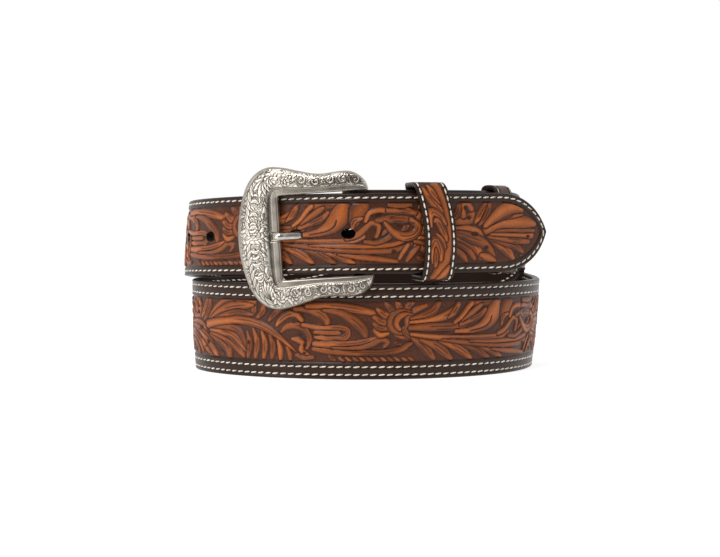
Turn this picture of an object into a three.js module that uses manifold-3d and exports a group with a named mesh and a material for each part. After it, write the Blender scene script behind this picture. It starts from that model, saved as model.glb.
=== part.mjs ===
// A tooled western belt, buckled and wound twice into a ring that stands on its lower edge.
// Millimetres, +Z up, the buckle towards -Y. One long strap of leather makes a lower turn, climbs
// along the back and makes an upper turn, whose tip passes through the buckle and the keepers.
import * as THREE from 'three';
import { mergeVertices } from 'three/addons/utils/BufferGeometryUtils.js';
import Module from 'manifold-3d';

const wasm = await Module();
wasm.setup();

// Leather strap
const strapThickness = 4;
const bodyWidth = 45.8;
const endWidth = 38.1;
const edgeBevel = 0.9;
const faceCrown = 0.5;
const stationSpacing = 6.5;

// The ring that the strap is wound round, measured to the middle of the leather
const ringHalfWidth = 88.2;
const ringDepth = 131;
const leftWidestShare = 0.5;
const rightWidestShare = 0.6;
const contactGap = 0.3;
const bendRoom = 0.15;

// Fold round the heel bar
const tabLength = 60;
const tabThickness = 3;
const foldBlend = 14;
const slotLength = 12;
const slotWidth = 5.4;

// Buckle: the frame's own X runs from the inner edge of its left bar to the arm tips
const armDepth = 14.2;
const bowWidth = 21.8;
const armLength = 43.4;
const openingClear = 1.05;
const frameThickness = 4.2;
const frameBend = 150;
const frameTilt = 3.9;
const bowClear = 0.44;
const reliefHeight = 0.45;
const barRadius = 2.1;
const barX = 35;
const barTurn = -3;
const barLane = -1.8;
const barDrop = 1.55;
const frameBackFromBar = 5.9;
const lugWidth = 5;
const lugHeight = 2.4;
const lugClear = 1;
const lugToLowerTurn = 0.6;
const innerBandWidth = 4;

// Tongue
const tongueWidth = 3.7;
const tongueDepth = 2.9;
const tongueTipX = -2.4;
const tongueHoleX = 6.4;
const tongueLandX = 0.8;
const tongueRestDepth = 0.8;

// Holes and tip
const holeCount = 5;
const holePitch = 25.4;
const holeLong = 7;
const holeWide = 5;
const usedHole = 1;
const tipToFirstHole = 106.5;
const pointLength = 30;
const pointBlunt = 0.8;

// Keepers
const keeperWidth = 14.3;
const keeperWall = 2.4;
const keeperEdgeWall = 3.3;
const keeperBackEdgeWall = 2.4;
const keeperBulge = 1.8;
const keeperSlack = 3;
const keeperSkew = 4.5;
const keeperBow = 2.8;
const keeperCorner = 4;
const keeperFrontTurn = 19;
const keeperBackTurn = 49.3;

// Derived lanes: how far the middle of the leather lies outside the lower turn
const foldRadius = barRadius + contactGap + tabThickness / 2;
const underLane = barLane + foldRadius;
const overLane = underLane + strapThickness + contactGap;
const openingHalfHeight = endWidth / 2 + openingClear;
const frameHalfHeight = openingHalfHeight + armDepth;
const loopGap = barDrop + openingClear + lugClear + lugHeight + lugToLowerTurn;
const upperBottom = bodyWidth + loopGap;
const barHeight = upperBottom + endWidth / 2 - barDrop;
const t = strapThickness;

// The winding, a row for each bend. turn is in degrees, counter-clockwise from the front, seen from
// above; lane is in millimetres; rise is the lower edge's height as a share of upperBottom; widen
// runs from endWidth at 0 to bodyWidth at 1; lean is in degrees, with the top edge outwards.
const winding = [
  { turn: -8, lane: underLane, rise: 1, widen: 0, lean: 0 },
  { turn: 12, lane: underLane, rise: 1, widen: 0, lean: 0 },
  { turn: 30, lane: underLane - 0.1 * t, rise: 1, widen: 0, lean: 0 },
  { turn: 52, lane: underLane - 1.0 * t, rise: 1, widen: 0, lean: -6 },
  { turn: 90, lane: -1.9 * t, rise: 0.93, widen: 0.1, lean: -4 },
  { turn: 130, lane: -2.1 * t, rise: 0.69, widen: 0.35, lean: 0 },
  { turn: 170, lane: -2 * t, rise: 0.35, widen: 0.65, lean: 0 },
  { turn: 205, lane: -1.7 * t, rise: 0.08, widen: 0.9, lean: 0 },
  { turn: 235, lane: -1.2 * t, rise: 0, widen: 1, lean: 1 },
  { turn: 270, lane: -0.3 * t, rise: 0, widen: 1, lean: 2 },
  { turn: 300, lane: 0, rise: 0, widen: 1, lean: 2 },
  { turn: 360, lane: 0, rise: 0, widen: 1, lean: 1.5 },
  { turn: 405, lane: 0, rise: 0, widen: 1, lean: 3 },
  { turn: 440, lane: 0, rise: 0, widen: 1, lean: 5 },
  { turn: 460, lane: 0.1 * t, rise: 0.03, widen: 0.95, lean: 4 },
  { turn: 500, lane: 0.3 * t, rise: 0.22, widen: 0.7, lean: 2 },
  { turn: 545, lane: 0.6 * t, rise: 0.52, widen: 0.4, lean: 0 },
  { turn: 590, lane: 0.85 * t, rise: 0.79, widen: 0.1, lean: -2 },
  { turn: 630, lane: 0.65 * t, rise: 0.898, widen: 0, lean: -4 },
  { turn: 665, lane: 0.55 * t, rise: 0.935, widen: 0, lean: -3 },
  { turn: 692, lane: 0.6 * t, rise: 0.955, widen: 0, lean: 0 },
  { turn: 720, lane: overLane, rise: 0.969, widen: 0, lean: 0 },
  { turn: 745, lane: overLane, rise: 0.972, widen: 0, lean: 0 },
  { turn: 765, lane: overLane + 0.9 * t, rise: 0.976, widen: 0, lean: -2 },
  { turn: 785, lane: overLane + 2.3 * t, rise: 0.978, widen: 0, lean: -2 },
  { turn: 800, lane: overLane + 3.6 * t, rise: 0.978, widen: 0, lean: -2 },
];

const degrees = Math.PI / 180;

function smooth(share) {
  const held = Math.min(1, Math.max(0, share));
  return held * held * (3 - 2 * held);
}

// A curve through the table's rows that never swings past a row
function monotone(rows, column, turn) {
  const steps = rows.slice(1).map((row, i) => (row[column] - rows[i][column]) / (row.turn - rows[i].turn));
  const slopes = rows.map((row, i) => {
    if (i === 0) return steps[0];
    if (i === rows.length - 1) return steps[i - 1];
    const before = steps[i - 1];
    const after = steps[i];
    return before * after <= 0 ? 0 : (2 * before * after) / (before + after);
  });
  let k = 0;
  while (k < rows.length - 2 && turn > rows[k + 1].turn) k += 1;
  const span = rows[k + 1].turn - rows[k].turn;
  const u = (turn - rows[k].turn) / span;
  const h00 = (1 + 2 * u) * (1 - u) * (1 - u);
  const h10 = u * (1 - u) * (1 - u);
  const h01 = u * u * (3 - 2 * u);
  const h11 = u * u * (u - 1);
  return h00 * rows[k][column] + h10 * span * slopes[k]
    + h01 * rows[k + 1][column] + h11 * span * slopes[k + 1];
}

// The ring is four quarter ellipses that meet at the front, the back and the two widest points
function ringPoint(turn) {
  const side = Math.sin(turn * degrees);
  const front = Math.cos(turn * degrees);
  const widest = (side > 0 ? rightWidestShare : leftWidestShare) * ringDepth;
  const reach = front > 0 ? widest : ringDepth - widest;
  return new THREE.Vector2(ringHalfWidth * side, widest - reach * front);
}

function ringNormal(turn) {
  const side = Math.sin(turn * degrees);
  const front = Math.cos(turn * degrees);
  const widest = (side > 0 ? rightWidestShare : leftWidestShare) * ringDepth;
  const reach = front > 0 ? widest : ringDepth - widest;
  return new THREE.Vector2(side * reach, -front * ringHalfWidth).normalize();
}

function windingStation(turn) {
  const lane = monotone(winding, 'lane', turn);
  const point = ringPoint(turn).add(ringNormal(turn).multiplyScalar(lane));
  return {
    x: point.x,
    y: point.y,
    bottom: monotone(winding, 'rise', turn) * upperBottom,
    half: (endWidth + (bodyWidth - endWidth) * monotone(winding, 'widen', turn)) / 2,
    lean: monotone(winding, 'lean', turn),
    thick: strapThickness,
  };
}

// The wound stretch, sampled finely and measured along its middle from the heel bar
const wound = [];
const sampleStep = 0.5;
for (let turn = barTurn; turn < winding[winding.length - 1].turn; turn += sampleStep) {
  const station = windingStation(turn);
  const last = wound[wound.length - 1];
  station.turn = turn;
  station.along = last ? last.along + Math.hypot(station.x - last.x, station.y - last.y) : 0;
  wound.push(station);
}

function woundAt(along) {
  let low = 0;
  let high = wound.length - 1;
  while (high - low > 1) {
    const middle = (low + high) >> 1;
    if (wound[middle].along <= along) low = middle;
    else high = middle;
  }
  const a = wound[low];
  const b = wound[high];
  const share = (along - a.along) / (b.along - a.along);
  const mixed = {};
  for (const key of Object.keys(a)) mixed[key] = a[key] + (b[key] - a[key]) * share;
  const direction = new THREE.Vector2(b.x - a.x, b.y - a.y).normalize();
  mixed.normal = new THREE.Vector2(direction.y, -direction.x);
  mixed.direction = direction;
  return mixed;
}

function alongAtTurn(turn) {
  const index = wound.findIndex((station) => station.turn >= turn);
  return wound[index].along;
}

// How far the bent frame stands out of its flat plane, at a distance along it from the heel bar
function frameBow(along) {
  const barMiddle = barX - (armLength - bowWidth) / 2;
  const middle = along + barMiddle;
  return (barMiddle * barMiddle - middle * middle) / (2 * frameBend);
}

// Heel bar, and the frame's own axes in plan
const barCentre = ringPoint(barTurn).add(ringNormal(barTurn).multiplyScalar(barLane));

// The least gap between the back of the bow and the upper strand, with the frame turned by an angle
function bowGap(turned) {
  const gaps = [];
  for (const share of [0, 0.25, 0.5, 0.75, 1]) {
    const along = -share * bowWidth - barX;
    const point = barCentre.clone();
    const out = frameBackFromBar + frameBow(along);
    point.x += along * Math.cos(turned) - out * Math.sin(turned);
    point.y -= along * Math.sin(turned) + out * Math.cos(turned);
    let nearest = wound[0];
    for (const station of wound) {
      if (station.turn < 640) continue;
      if (Math.hypot(station.x - point.x, station.y - point.y)
        < Math.hypot(nearest.x - point.x, nearest.y - point.y) || nearest.turn < 640) nearest = station;
    }
    const normal = woundAt(nearest.along).normal;
    gaps.push((point.x - nearest.x) * normal.x + (point.y - nearest.y) * normal.y - strapThickness / 2);
  }
  return Math.min(...gaps);
}

// The frame is turned towards the strap until its bow stands bowClear off it
let yawLow = 0;
let yawHigh = Math.PI / 4;
for (let i = 0; i < 40; i += 1) {
  const halfway = (yawLow + yawHigh) / 2;
  if (bowGap(halfway) > bowClear) yawLow = halfway;
  else yawHigh = halfway;
}
const yaw = yawLow;
const frameRight = new THREE.Vector3(Math.cos(yaw), -Math.sin(yaw), 0);
const frameOut = new THREE.Vector3(-Math.sin(yaw), -Math.cos(yaw), 0);
const tilt = frameTilt * degrees;

// Takes a point of the flat, upright frame to its place: bent, tilted in its plane and turned.
// out is measured from the back of the frame.
function placeOnBuckle(x, y, out) {
  const fromBar = x - barX;
  const along = fromBar * Math.cos(tilt) - y * Math.sin(tilt);
  const up = fromBar * Math.sin(tilt) + y * Math.cos(tilt);
  const point = new THREE.Vector3(barCentre.x, barCentre.y, barHeight + up);
  const stand = out + frameBackFromBar + frameBow(along);
  return point.addScaledVector(frameRight, along).addScaledVector(frameOut, stand);
}

// Helpers between three.js geometries and solids that can be joined and cut
function toSolid(geometry) {
  const bare = geometry.index ? geometry.toNonIndexed() : geometry.clone();
  bare.deleteAttribute('normal');
  bare.deleteAttribute('uv');
  const merged = mergeVertices(bare, 1e-4);
  return new wasm.Manifold(new wasm.Mesh({
    numProp: 3,
    vertProperties: new Float32Array(merged.attributes.position.array),
    triVerts: new Uint32Array(merged.index.array),
  }));
}

function toGeometry(solid) {
  const mesh = solid.getMesh();
  const geometry = new THREE.BufferGeometry();
  geometry.setAttribute('position', new THREE.BufferAttribute(mesh.vertProperties, 3));
  geometry.setIndex(new THREE.BufferAttribute(mesh.triVerts, 1));
  geometry.computeVertexNormals();
  return geometry;
}

// Extrudes a section in equal steps and moves each vertex by place(x, y, share of the length)
function sweep(section, steps, place) {
  const geometry = new THREE.ExtrudeGeometry(section, { steps, depth: 1, bevelEnabled: false, curveSegments: 6 });
  const position = geometry.attributes.position;
  for (let i = 0; i < position.count; i += 1) {
    const point = place(position.getX(i), position.getY(i), position.getZ(i));
    position.setXYZ(i, point.x, point.y, point.z);
  }
  return geometry;
}

// The whole route of the strap: tab, fold round the heel bar, then the winding to the tip
const holeInUse = alongAtTurn(720 + barTurn) - barX + tongueHoleX;
const firstHole = holeInUse + usedHole * holePitch;
const tipAlong = firstHole + tipToFirstHole;

function tabStation(fromBar) {
  const strand = woundAt(fromBar);
  const close = strapThickness / 2 + contactGap + tabThickness / 2;
  const share = smooth(fromBar / foldBlend);
  const offset = 2 * foldRadius + (close - 2 * foldRadius) * share;
  return {
    ...strand,
    x: strand.x - strand.normal.x * offset,
    y: strand.y - strand.normal.y * offset,
    thick: tabThickness,
    fromBar,
  };
}

function foldStation(angle) {
  const strand = woundAt(0);
  const back = -Math.sin(angle) * foldRadius;
  const out = -Math.cos(angle) * foldRadius;
  return {
    ...strand,
    x: barCentre.x + strand.direction.x * back + strand.normal.x * out,
    y: barCentre.y + strand.direction.y * back + strand.normal.y * out,
    thick: tabThickness,
  };
}

function pointedHalf(half, toTip) {
  const share = Math.min(1, Math.max(0, toTip / pointLength));
  return pointBlunt + (half - pointBlunt) * (1 - (1 - share) ** 2.1) ** 0.68;
}

const stations = [];
const tabSteps = 12;
for (let i = 0; i <= tabSteps; i += 1) stations.push(tabStation(tabLength * (1 - i / tabSteps) ** 1.5));
const foldSteps = 8;
for (let i = 1; i < foldSteps; i += 1) stations.push(foldStation((Math.PI * i) / foldSteps));
const bodySteps = Math.round((tipAlong - pointLength) / stationSpacing);
for (let i = 0; i <= bodySteps; i += 1) {
  const along = ((tipAlong - pointLength) * i) / bodySteps;
  const station = woundAt(along);
  station.fromBar = along;
  station.thick = tabThickness + (strapThickness - tabThickness) * smooth(along / foldBlend);
  stations.push(station);
}
const pointSteps = 10;
for (let i = 1; i <= pointSteps; i += 1) {
  const toTip = pointLength * (1 - Math.sin((i / pointSteps) * 90 * degrees));
  const station = woundAt(tipAlong - toTip);
  station.fromBar = tipAlong;
  station.half = pointedHalf(station.half, toTip);
  station.shift = endWidth / 2 - station.half;
  stations.push(station);
}

// Each station's own axes: along the route, out of the tooled face, and up across the strap
for (let i = 0; i < stations.length; i += 1) {
  const here = stations[i];
  const before = stations[Math.max(0, i - 1)];
  const after = stations[Math.min(stations.length - 1, i + 1)];
  const rise = (after.bottom - before.bottom) / Math.hypot(after.x - before.x, after.y - before.y);
  const direction = new THREE.Vector2(after.x - before.x, after.y - before.y).normalize();
  here.out = new THREE.Vector3(direction.y, -direction.x, 0);
  const travel = new THREE.Vector3(direction.x, direction.y, rise).normalize();
  here.up = new THREE.Vector3(0, 0, 1).addScaledVector(travel, -travel.z);
  here.up.normalize().addScaledVector(here.out, Math.sin(here.lean * degrees)).normalize();
  here.centre = new THREE.Vector3(here.x, here.y, here.bottom);
  here.centre.z += here.up.z * (here.half + (here.shift ?? 0));
}

// Section of the strap: across from -1 to 1, thickness from -0.5 at the flesh side to 0.5
function strapSection() {
  const bevelAcross = (2 * edgeBevel) / endWidth;
  const bevelDeep = edgeBevel / strapThickness;
  const crown = faceCrown / strapThickness;
  const section = new THREE.Shape();
  section.moveTo(-1 + bevelAcross / 2, -0.5);
  section.lineTo(1 - bevelAcross / 2, -0.5);
  section.lineTo(1, -0.5 + bevelDeep / 2);
  section.lineTo(1, 0.5 - bevelDeep - crown);
  section.lineTo(1 - bevelAcross, 0.5 - crown);
  section.lineTo(0.5, 0.5 - crown / 4);
  section.lineTo(0, 0.5);
  section.lineTo(-0.5, 0.5 - crown / 4);
  section.lineTo(-1 + bevelAcross, 0.5 - crown);
  section.lineTo(-1, 0.5 - bevelDeep - crown);
  section.lineTo(-1, -0.5 + bevelDeep / 2);
  section.closePath();
  return section;
}

// Where the tilted heel bar stands at a height, from where it stands at barHeight
function barShift(height) {
  const y = (height - barHeight) / Math.cos(tilt);
  const shift = placeOnBuckle(barX, y, 0).sub(placeOnBuckle(barX, 0, 0));
  shift.z = 0;
  return shift;
}

function strapPoint(across, deep, share) {
  const station = stations[Math.round(share * (stations.length - 1))];
  const point = station.centre.clone()
    .addScaledVector(station.up, across * station.half)
    .addScaledVector(station.out, deep * station.thick);
  const held = 1 - smooth((station.fromBar ?? 0) / (2 * foldBlend));
  return point.addScaledVector(barShift(point.z), held);
}

// A short prism with an upright oval or slot section, standing across the leather at a place
function punch(shape, place, direction, depth) {
  const geometry = new THREE.ExtrudeGeometry(shape, { depth, bevelEnabled: false, curveSegments: 10 });
  geometry.translate(0, 0, -depth / 2);
  const basis = new THREE.Matrix4().makeBasis(
    new THREE.Vector3(direction.x, direction.y, 0),
    new THREE.Vector3(0, 0, 1),
    new THREE.Vector3(direction.y, -direction.x, 0),
  );
  geometry.applyMatrix4(basis);
  geometry.translate(place.x, place.y, place.z);
  return toSolid(geometry);
}

function stationCentre(station) {
  return new THREE.Vector3(station.x, station.y, station.bottom + station.half);
}

function punchedHole(along) {
  const oval = new THREE.Shape();
  oval.absellipse(0, 0, holeLong / 2, holeWide / 2, 0, 2 * Math.PI);
  const station = woundAt(along);
  return punch(oval, stationCentre(station), station.direction, 3 * strapThickness);
}

function slot(length, width) {
  const shape = new THREE.Shape();
  const straight = (length - width) / 2;
  shape.absarc(straight, 0, width / 2, -Math.PI / 2, Math.PI / 2);
  shape.absarc(-straight, 0, width / 2, Math.PI / 2, 1.5 * Math.PI);
  shape.closePath();
  return shape;
}

// The tongue's bow, as a curve in the buckle's middle plane: x on the frame, out from its back
const tongueHalfDepth = tongueDepth / 2;
const tongueRest = frameThickness - tongueRestDepth + tongueHalfDepth + contactGap / 2;
const hookRadius = barRadius + 2 * contactGap + tongueHalfDepth;

function tongueCurve() {
  const points = [];
  const hookTurns = [300, 330, 0, 30, 60, 90, 120, 150, 175];
  for (const hookTurn of hookTurns) {
    const angle = hookTurn * degrees;
    const x = barX + hookRadius * Math.cos(angle);
    points.push(placeOnBuckle(x, tongueLine(x), -frameBackFromBar + hookRadius * Math.sin(angle)));
  }
  const reach = barX - tongueHoleX;
  const bends = [
    { share: 0.3, out: -0.95 * frameBackFromBar },
    { share: 0.6, out: -0.72 * frameBackFromBar },
    { share: 0.8, out: -0.4 * frameBackFromBar },
    { share: 0.95, out: 0.05 * frameBackFromBar },
    { share: 1.1, out: 0.52 * frameBackFromBar },
  ];
  for (const bend of bends) {
    const x = barX - reach * bend.share;
    points.push(placeOnBuckle(x, tongueLine(x), bend.out));
  }
  points.push(placeOnBuckle(tongueLandX, tongueLine(tongueLandX), tongueRest));
  points.push(placeOnBuckle(tongueTipX + tongueHalfDepth, tongueLine(tongueTipX), tongueRest));
  return new THREE.CatmullRomCurve3(points, false, 'centripetal');
}

// The tongue points a little up towards its tip, from the middle of the heel bar
function tongueLine(x) {
  return 0.02 * (barX - x);
}

function tongueSolid(clearance) {
  const section = new THREE.Shape();
  section.absellipse(0, 0, tongueHalfDepth + clearance, tongueWidth / 2 + clearance, 0, 2 * Math.PI);
  const curve = tongueCurve();
  const geometry = new THREE.ExtrudeGeometry(section, {
    steps: 44,
    curveSegments: 6,
    extrudePath: curve,
    bevelEnabled: false,
  });
  const round = new THREE.SphereGeometry(1, 12, 8);
  round.scale(tongueHalfDepth + clearance, tongueHalfDepth + clearance, tongueWidth / 2 + clearance);
  const end = curve.getPoint(1);
  round.translate(end.x, end.y, end.z);
  return toSolid(geometry).add(toSolid(round));
}

// Belt strap
let strapSolid = toSolid(sweep(strapSection(), stations.length - 1, strapPoint));
for (let i = 0; i < holeCount; i += 1) {
  strapSolid = strapSolid.subtract(punchedHole(firstHole - i * holePitch));
}
const foldStart = woundAt(0);
const slotPlace = new THREE.Vector3(barCentre.x, barCentre.y, barHeight);
strapSolid = strapSolid.subtract(
  punch(slot(slotLength, slotWidth), slotPlace, foldStart.direction, 2 * foldRadius + tabThickness + contactGap),
);
strapSolid = strapSolid.subtract(tongueSolid(contactGap));

// Half of the frame's outline, from the middle of the bow to the arm tip. inner is on the opening's
// edge and outer on the frame's outside, in shares of armLength or bowWidth and of frameHalfHeight.
const bowRows = [
  { innerX: 0, innerY: 0, outerX: -1, outerY: 0 },
  { innerX: 0, innerY: 0.38, outerX: -0.972, outerY: 0.255 },
  { innerX: 0, innerY: 0.74, outerX: -0.87, outerY: 0.53 },
  { innerX: 0, innerY: 0.93, outerX: -0.71, outerY: 0.765 },
  { innerX: 0.008, innerY: 0.98, outerX: -0.48, outerY: 0.92 },
  { innerX: 0.024, innerY: 1, outerX: -0.19, outerY: 0.99 },
];
const armRows = [
  { innerX: 0.09, outerX: 0.07, outerY: 0.972 },
  { innerX: 0.23, outerX: 0.235, outerY: 0.918 },
  { innerX: 0.4, outerX: 0.4, outerY: 0.865 },
  { innerX: 0.53, outerX: 0.525, outerY: 0.85 },
  { innerX: 0.68, outerX: 0.69, outerY: 0.866 },
  { innerX: 0.8, outerX: 0.81, outerY: 0.862 },
  { innerX: 0.9, outerX: 0.9, outerY: 0.81 },
  { innerX: 0.965, outerX: 0.968, outerY: 0.722 },
  { innerX: 0.995, outerX: 1, outerY: 0.622 },
];

function frameOutline() {
  const half = [];
  for (const row of bowRows) {
    half.push({
      inner: new THREE.Vector3(row.innerX * armLength, row.innerY * openingHalfHeight, 0),
      outer: new THREE.Vector3(row.outerX * bowWidth, row.outerY * frameHalfHeight, 0),
    });
  }
  for (const row of armRows) {
    half.push({
      inner: new THREE.Vector3(row.innerX * armLength, openingHalfHeight, 0),
      outer: new THREE.Vector3(row.outerX * armLength, row.outerY * frameHalfHeight, 0),
    });
  }
  const flip = new THREE.Vector3(1, -1, 1);
  const lower = half.slice(1).reverse().map((row) => ({
    inner: row.inner.clone().multiply(flip),
    outer: row.outer.clone().multiply(flip),
  }));
  const whole = [...lower, ...half];
  return {
    inner: new THREE.CatmullRomCurve3(whole.map((row) => row.inner), false, 'catmullrom', 0.5),
    outer: new THREE.CatmullRomCurve3(whole.map((row) => row.outer), false, 'catmullrom', 0.5),
  };
}

// Section of the frame: 0 on the opening's edge, 1 on the outside, and from the back to the front
function frameSection() {
  const section = new THREE.Shape();
  section.moveTo(0, 0);
  section.lineTo(0, 0.62);
  section.lineTo(0.06, 0.78);
  section.lineTo(0.24, 0.8);
  section.lineTo(0.29, 0.9);
  for (const across of [0.37, 0.45, 0.53, 0.61, 0.69, 0.77]) {
    section.lineTo(across, 1 - 1.1 * (across - 0.5) ** 2);
  }
  section.lineTo(0.85, 0.84);
  section.lineTo(0.93, 0.68);
  section.lineTo(1, 0.4);
  section.lineTo(0.97, 0);
  section.closePath();
  return section;
}

// Cast leaves along the frame: lobes that lean over each other, highest in the middle of the crown
function castRelief(share, across) {
  const crown = Math.max(0, 1 - Math.abs(across - 0.57) / 0.3);
  const leaf = Math.sin(share * 2 * Math.PI * 15 + Math.abs(share - 0.5) * 20 + across * 7);
  return reliefHeight * Math.sqrt(crown) * leaf * 0.5;
}

const outline = frameOutline();
const frameSteps = 116;

function framePoint(across, deep, share) {
  const inner = outline.inner.getPoint(share);
  const outer = outline.outer.getPoint(share);
  const width = inner.distanceTo(outer);
  const fixedBand = (across * 4 * innerBandWidth) / Math.max(width, 4 * innerBandWidth);
  const mixed = across < 0.25 ? fixedBand * 0.9 + across * 0.1 : across;
  const flat = inner.lerp(outer, mixed);
  const narrow = smooth(width / (3 * innerBandWidth));
  const front = deep * frameThickness * (0.72 + 0.28 * narrow);
  const relief = across > 0.3 && across < 0.86 && deep > 0.5 ? castRelief(share, across) * narrow : 0;
  return placeOnBuckle(flat.x, flat.y, front + relief);
}

// Heel bar between two lugs that stand back from the arms
function heelBar() {
  const length = 2 * (openingHalfHeight + lugClear + lugHeight / 2);
  const bar = new THREE.CylinderGeometry(barRadius, barRadius, length, 20, 1);
  const position = bar.attributes.position;
  for (let i = 0; i < position.count; i += 1) {
    const x = barX + position.getX(i);
    const point = placeOnBuckle(x, position.getY(i), -frameBackFromBar + position.getZ(i));
    position.setXYZ(i, point.x, point.y, point.z);
  }
  return toSolid(bar);
}

function lug(side) {
  const depth = frameBackFromBar + barRadius + frameThickness / 2;
  const box = new THREE.BoxGeometry(lugWidth, lugHeight, depth);
  box.translate(barX, side * (openingHalfHeight + lugClear + lugHeight / 2), depth / 2 - frameBackFromBar - barRadius);
  const position = box.attributes.position;
  for (let i = 0; i < position.count; i += 1) {
    const point = placeOnBuckle(position.getX(i), position.getY(i), position.getZ(i));
    position.setXYZ(i, point.x, point.y, point.z);
  }
  return toSolid(box);
}

let frameSolid = toSolid(sweep(frameSection(), frameSteps, framePoint));
const notch = tongueSolid(contactGap);
frameSolid = frameSolid.subtract(notch).add(heelBar()).add(lug(1)).add(lug(-1));

// A keeper: a flat loop of leather round the strands, bent to follow them
function keeperShape(inside, outside, low, high, edgeWall) {
  const shape = new THREE.Shape();
  const left = inside - keeperWall;
  const right = outside + keeperWall;
  const bottom = low - edgeWall;
  const top = high + edgeWall;
  const r = keeperCorner;
  shape.moveTo(left + r, bottom);
  shape.lineTo(right - r, bottom);
  shape.quadraticCurveTo(right, bottom, right + 0.3 * keeperBulge, bottom + r);
  shape.quadraticCurveTo(right + 1.7 * keeperBulge, (bottom + top) / 2, right + 0.3 * keeperBulge, top - r);
  shape.quadraticCurveTo(right, top, right - r, top);
  shape.lineTo(left + r, top);
  shape.quadraticCurveTo(left, top, left, top - r);
  shape.lineTo(left, bottom + r);
  shape.quadraticCurveTo(left, bottom, left + r, bottom);
  const hole = new THREE.Path();
  hole.moveTo(inside, low);
  hole.lineTo(inside, high);
  hole.lineTo(outside, high);
  hole.lineTo(outside + 0.3 * keeperBulge, (low + high) / 2);
  hole.lineTo(outside, low);
  hole.closePath();
  shape.holes.push(hole);
  return shape;
}

// skew leans it along the strap, and bow is how far its middle stands along the strap from its ends.
function keeperGeometry(turn, skew, bow, inside, outside, low, high, edgeWall) {
  const middle = alongAtTurn(turn);
  const shape = keeperShape(inside, outside, low, high, edgeWall);
  const halfHeight = (high - low) / 2 + edgeWall;
  return sweep(shape, 4, (x, y, share) => {
    const fromMiddle = y - (low + high) / 2;
    const bent = bow * (1 - (fromMiddle / halfHeight) ** 2) - fromMiddle * Math.tan(skew * degrees);
    const station = woundAt(middle + (0.5 - share) * keeperWidth + bent);
    const leaned = x + fromMiddle * Math.sin(station.lean * degrees);
    return new THREE.Vector3(station.x + station.normal.x * leaned, station.y + station.normal.y * leaned, y);
  });
}

const bendClear = contactGap + bendRoom;
const underLow = upperBottom;
const underHigh = upperBottom + endWidth;
const overLow = 0.972 * upperBottom;
const tabInside = -strapThickness / 2 - contactGap - tabThickness - bendClear;

// How far the tip strap's middle lies outside the under strand's, at the widest within a keeper
function strandSpread(turn) {
  const reach = keeperWidth / ringHalfWidth / 2 / degrees;
  const spreads = [-reach, 0, reach].map((aside) => (
    monotone(winding, 'lane', 720 + turn + aside) - monotone(winding, 'lane', turn + aside)
  ));
  return Math.max(...spreads);
}

const tipOutside = strandSpread(keeperFrontTurn) + strapThickness / 2 + bendClear;
const keeperFront = keeperGeometry(
  keeperFrontTurn,
  keeperSkew,
  keeperBow,
  tabInside - keeperSlack,
  tipOutside,
  overLow - contactGap,
  underHigh + contactGap,
  keeperEdgeWall,
);
const keeperBack = keeperGeometry(
  keeperBackTurn,
  0,
  0,
  -strapThickness / 2 - bendClear,
  strapThickness / 2 + bendClear,
  underLow - contactGap,
  underHigh + contactGap,
  keeperBackEdgeWall,
);

// Materials and the finished group, with its origin under the middle of the belt
const darkLeather = new THREE.MeshStandardMaterial({ color: 0x6b3519, roughness: 0.5, metalness: 0 });
const keeperLeather = new THREE.MeshStandardMaterial({ color: 0x8a4a22, roughness: 0.5, metalness: 0 });
const antiqueSilver = new THREE.MeshStandardMaterial({ color: 0xb9b4aa, roughness: 0.35, metalness: 0.9 });
const brightSilver = new THREE.MeshStandardMaterial({ color: 0xc8c4bb, roughness: 0.25, metalness: 0.95 });

const belt = new THREE.Group();

function addPiece(name, geometry, material) {
  const mesh = new THREE.Mesh(geometry, material);
  mesh.name = name;
  belt.add(mesh);
}

addPiece('belt_strap', toGeometry(strapSolid), darkLeather);
addPiece('buckle_frame', toGeometry(frameSolid), antiqueSilver);
addPiece('buckle_tongue', toGeometry(tongueSolid(0)), brightSilver);
addPiece('keeper_front', keeperFront, keeperLeather);
addPiece('keeper_back', keeperBack, keeperLeather);

const box = new THREE.Box3().setFromObject(belt);
for (const mesh of belt.children) {
  mesh.geometry.translate(-(box.min.x + box.max.x) / 2, -(box.min.y + box.max.y) / 2, -box.min.z);
}

export default belt;
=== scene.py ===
import math

import bmesh
import bpy
import numpy as np
from mathutils import Matrix, Vector


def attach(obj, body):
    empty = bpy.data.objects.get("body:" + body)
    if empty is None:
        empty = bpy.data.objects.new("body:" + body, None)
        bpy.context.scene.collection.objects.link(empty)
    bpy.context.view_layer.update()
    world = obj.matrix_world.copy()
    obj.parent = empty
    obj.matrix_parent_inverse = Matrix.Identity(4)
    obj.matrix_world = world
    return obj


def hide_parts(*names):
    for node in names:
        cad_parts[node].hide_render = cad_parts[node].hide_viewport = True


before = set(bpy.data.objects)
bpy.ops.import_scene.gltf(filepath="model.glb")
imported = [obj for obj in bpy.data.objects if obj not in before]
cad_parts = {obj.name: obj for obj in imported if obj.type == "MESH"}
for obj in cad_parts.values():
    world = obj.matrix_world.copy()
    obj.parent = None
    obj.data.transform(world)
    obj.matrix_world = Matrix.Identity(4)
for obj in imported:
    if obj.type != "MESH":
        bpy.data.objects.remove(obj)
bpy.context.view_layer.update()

# The route of the strap: one long piece of vegetable-tanned leather that starts at a fold round the
# buckle's heel bar, makes a lower turn and an upper one, and ends in a pointed tip. Everything that
# lies on the strap is placed with strap_point. Sizes are in millimetres until a mesh is made.
MM = 0.001
RING_ORIGIN = np.array([1.00697, -62.79081, 0.0])
LEATHER = 4.0
TAB_LEATHER = 3.0
BODY_WIDTH = 45.8
END_WIDTH = 38.1
FACE_CROWN = 0.5
RING_HALF_WIDTH = 88.2
RING_DEPTH = 131.0
LEFT_WIDEST = 0.5 * RING_DEPTH
RIGHT_WIDEST = 0.6 * RING_DEPTH
UPPER_BOTTOM = BODY_WIDTH + 6.6
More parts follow.
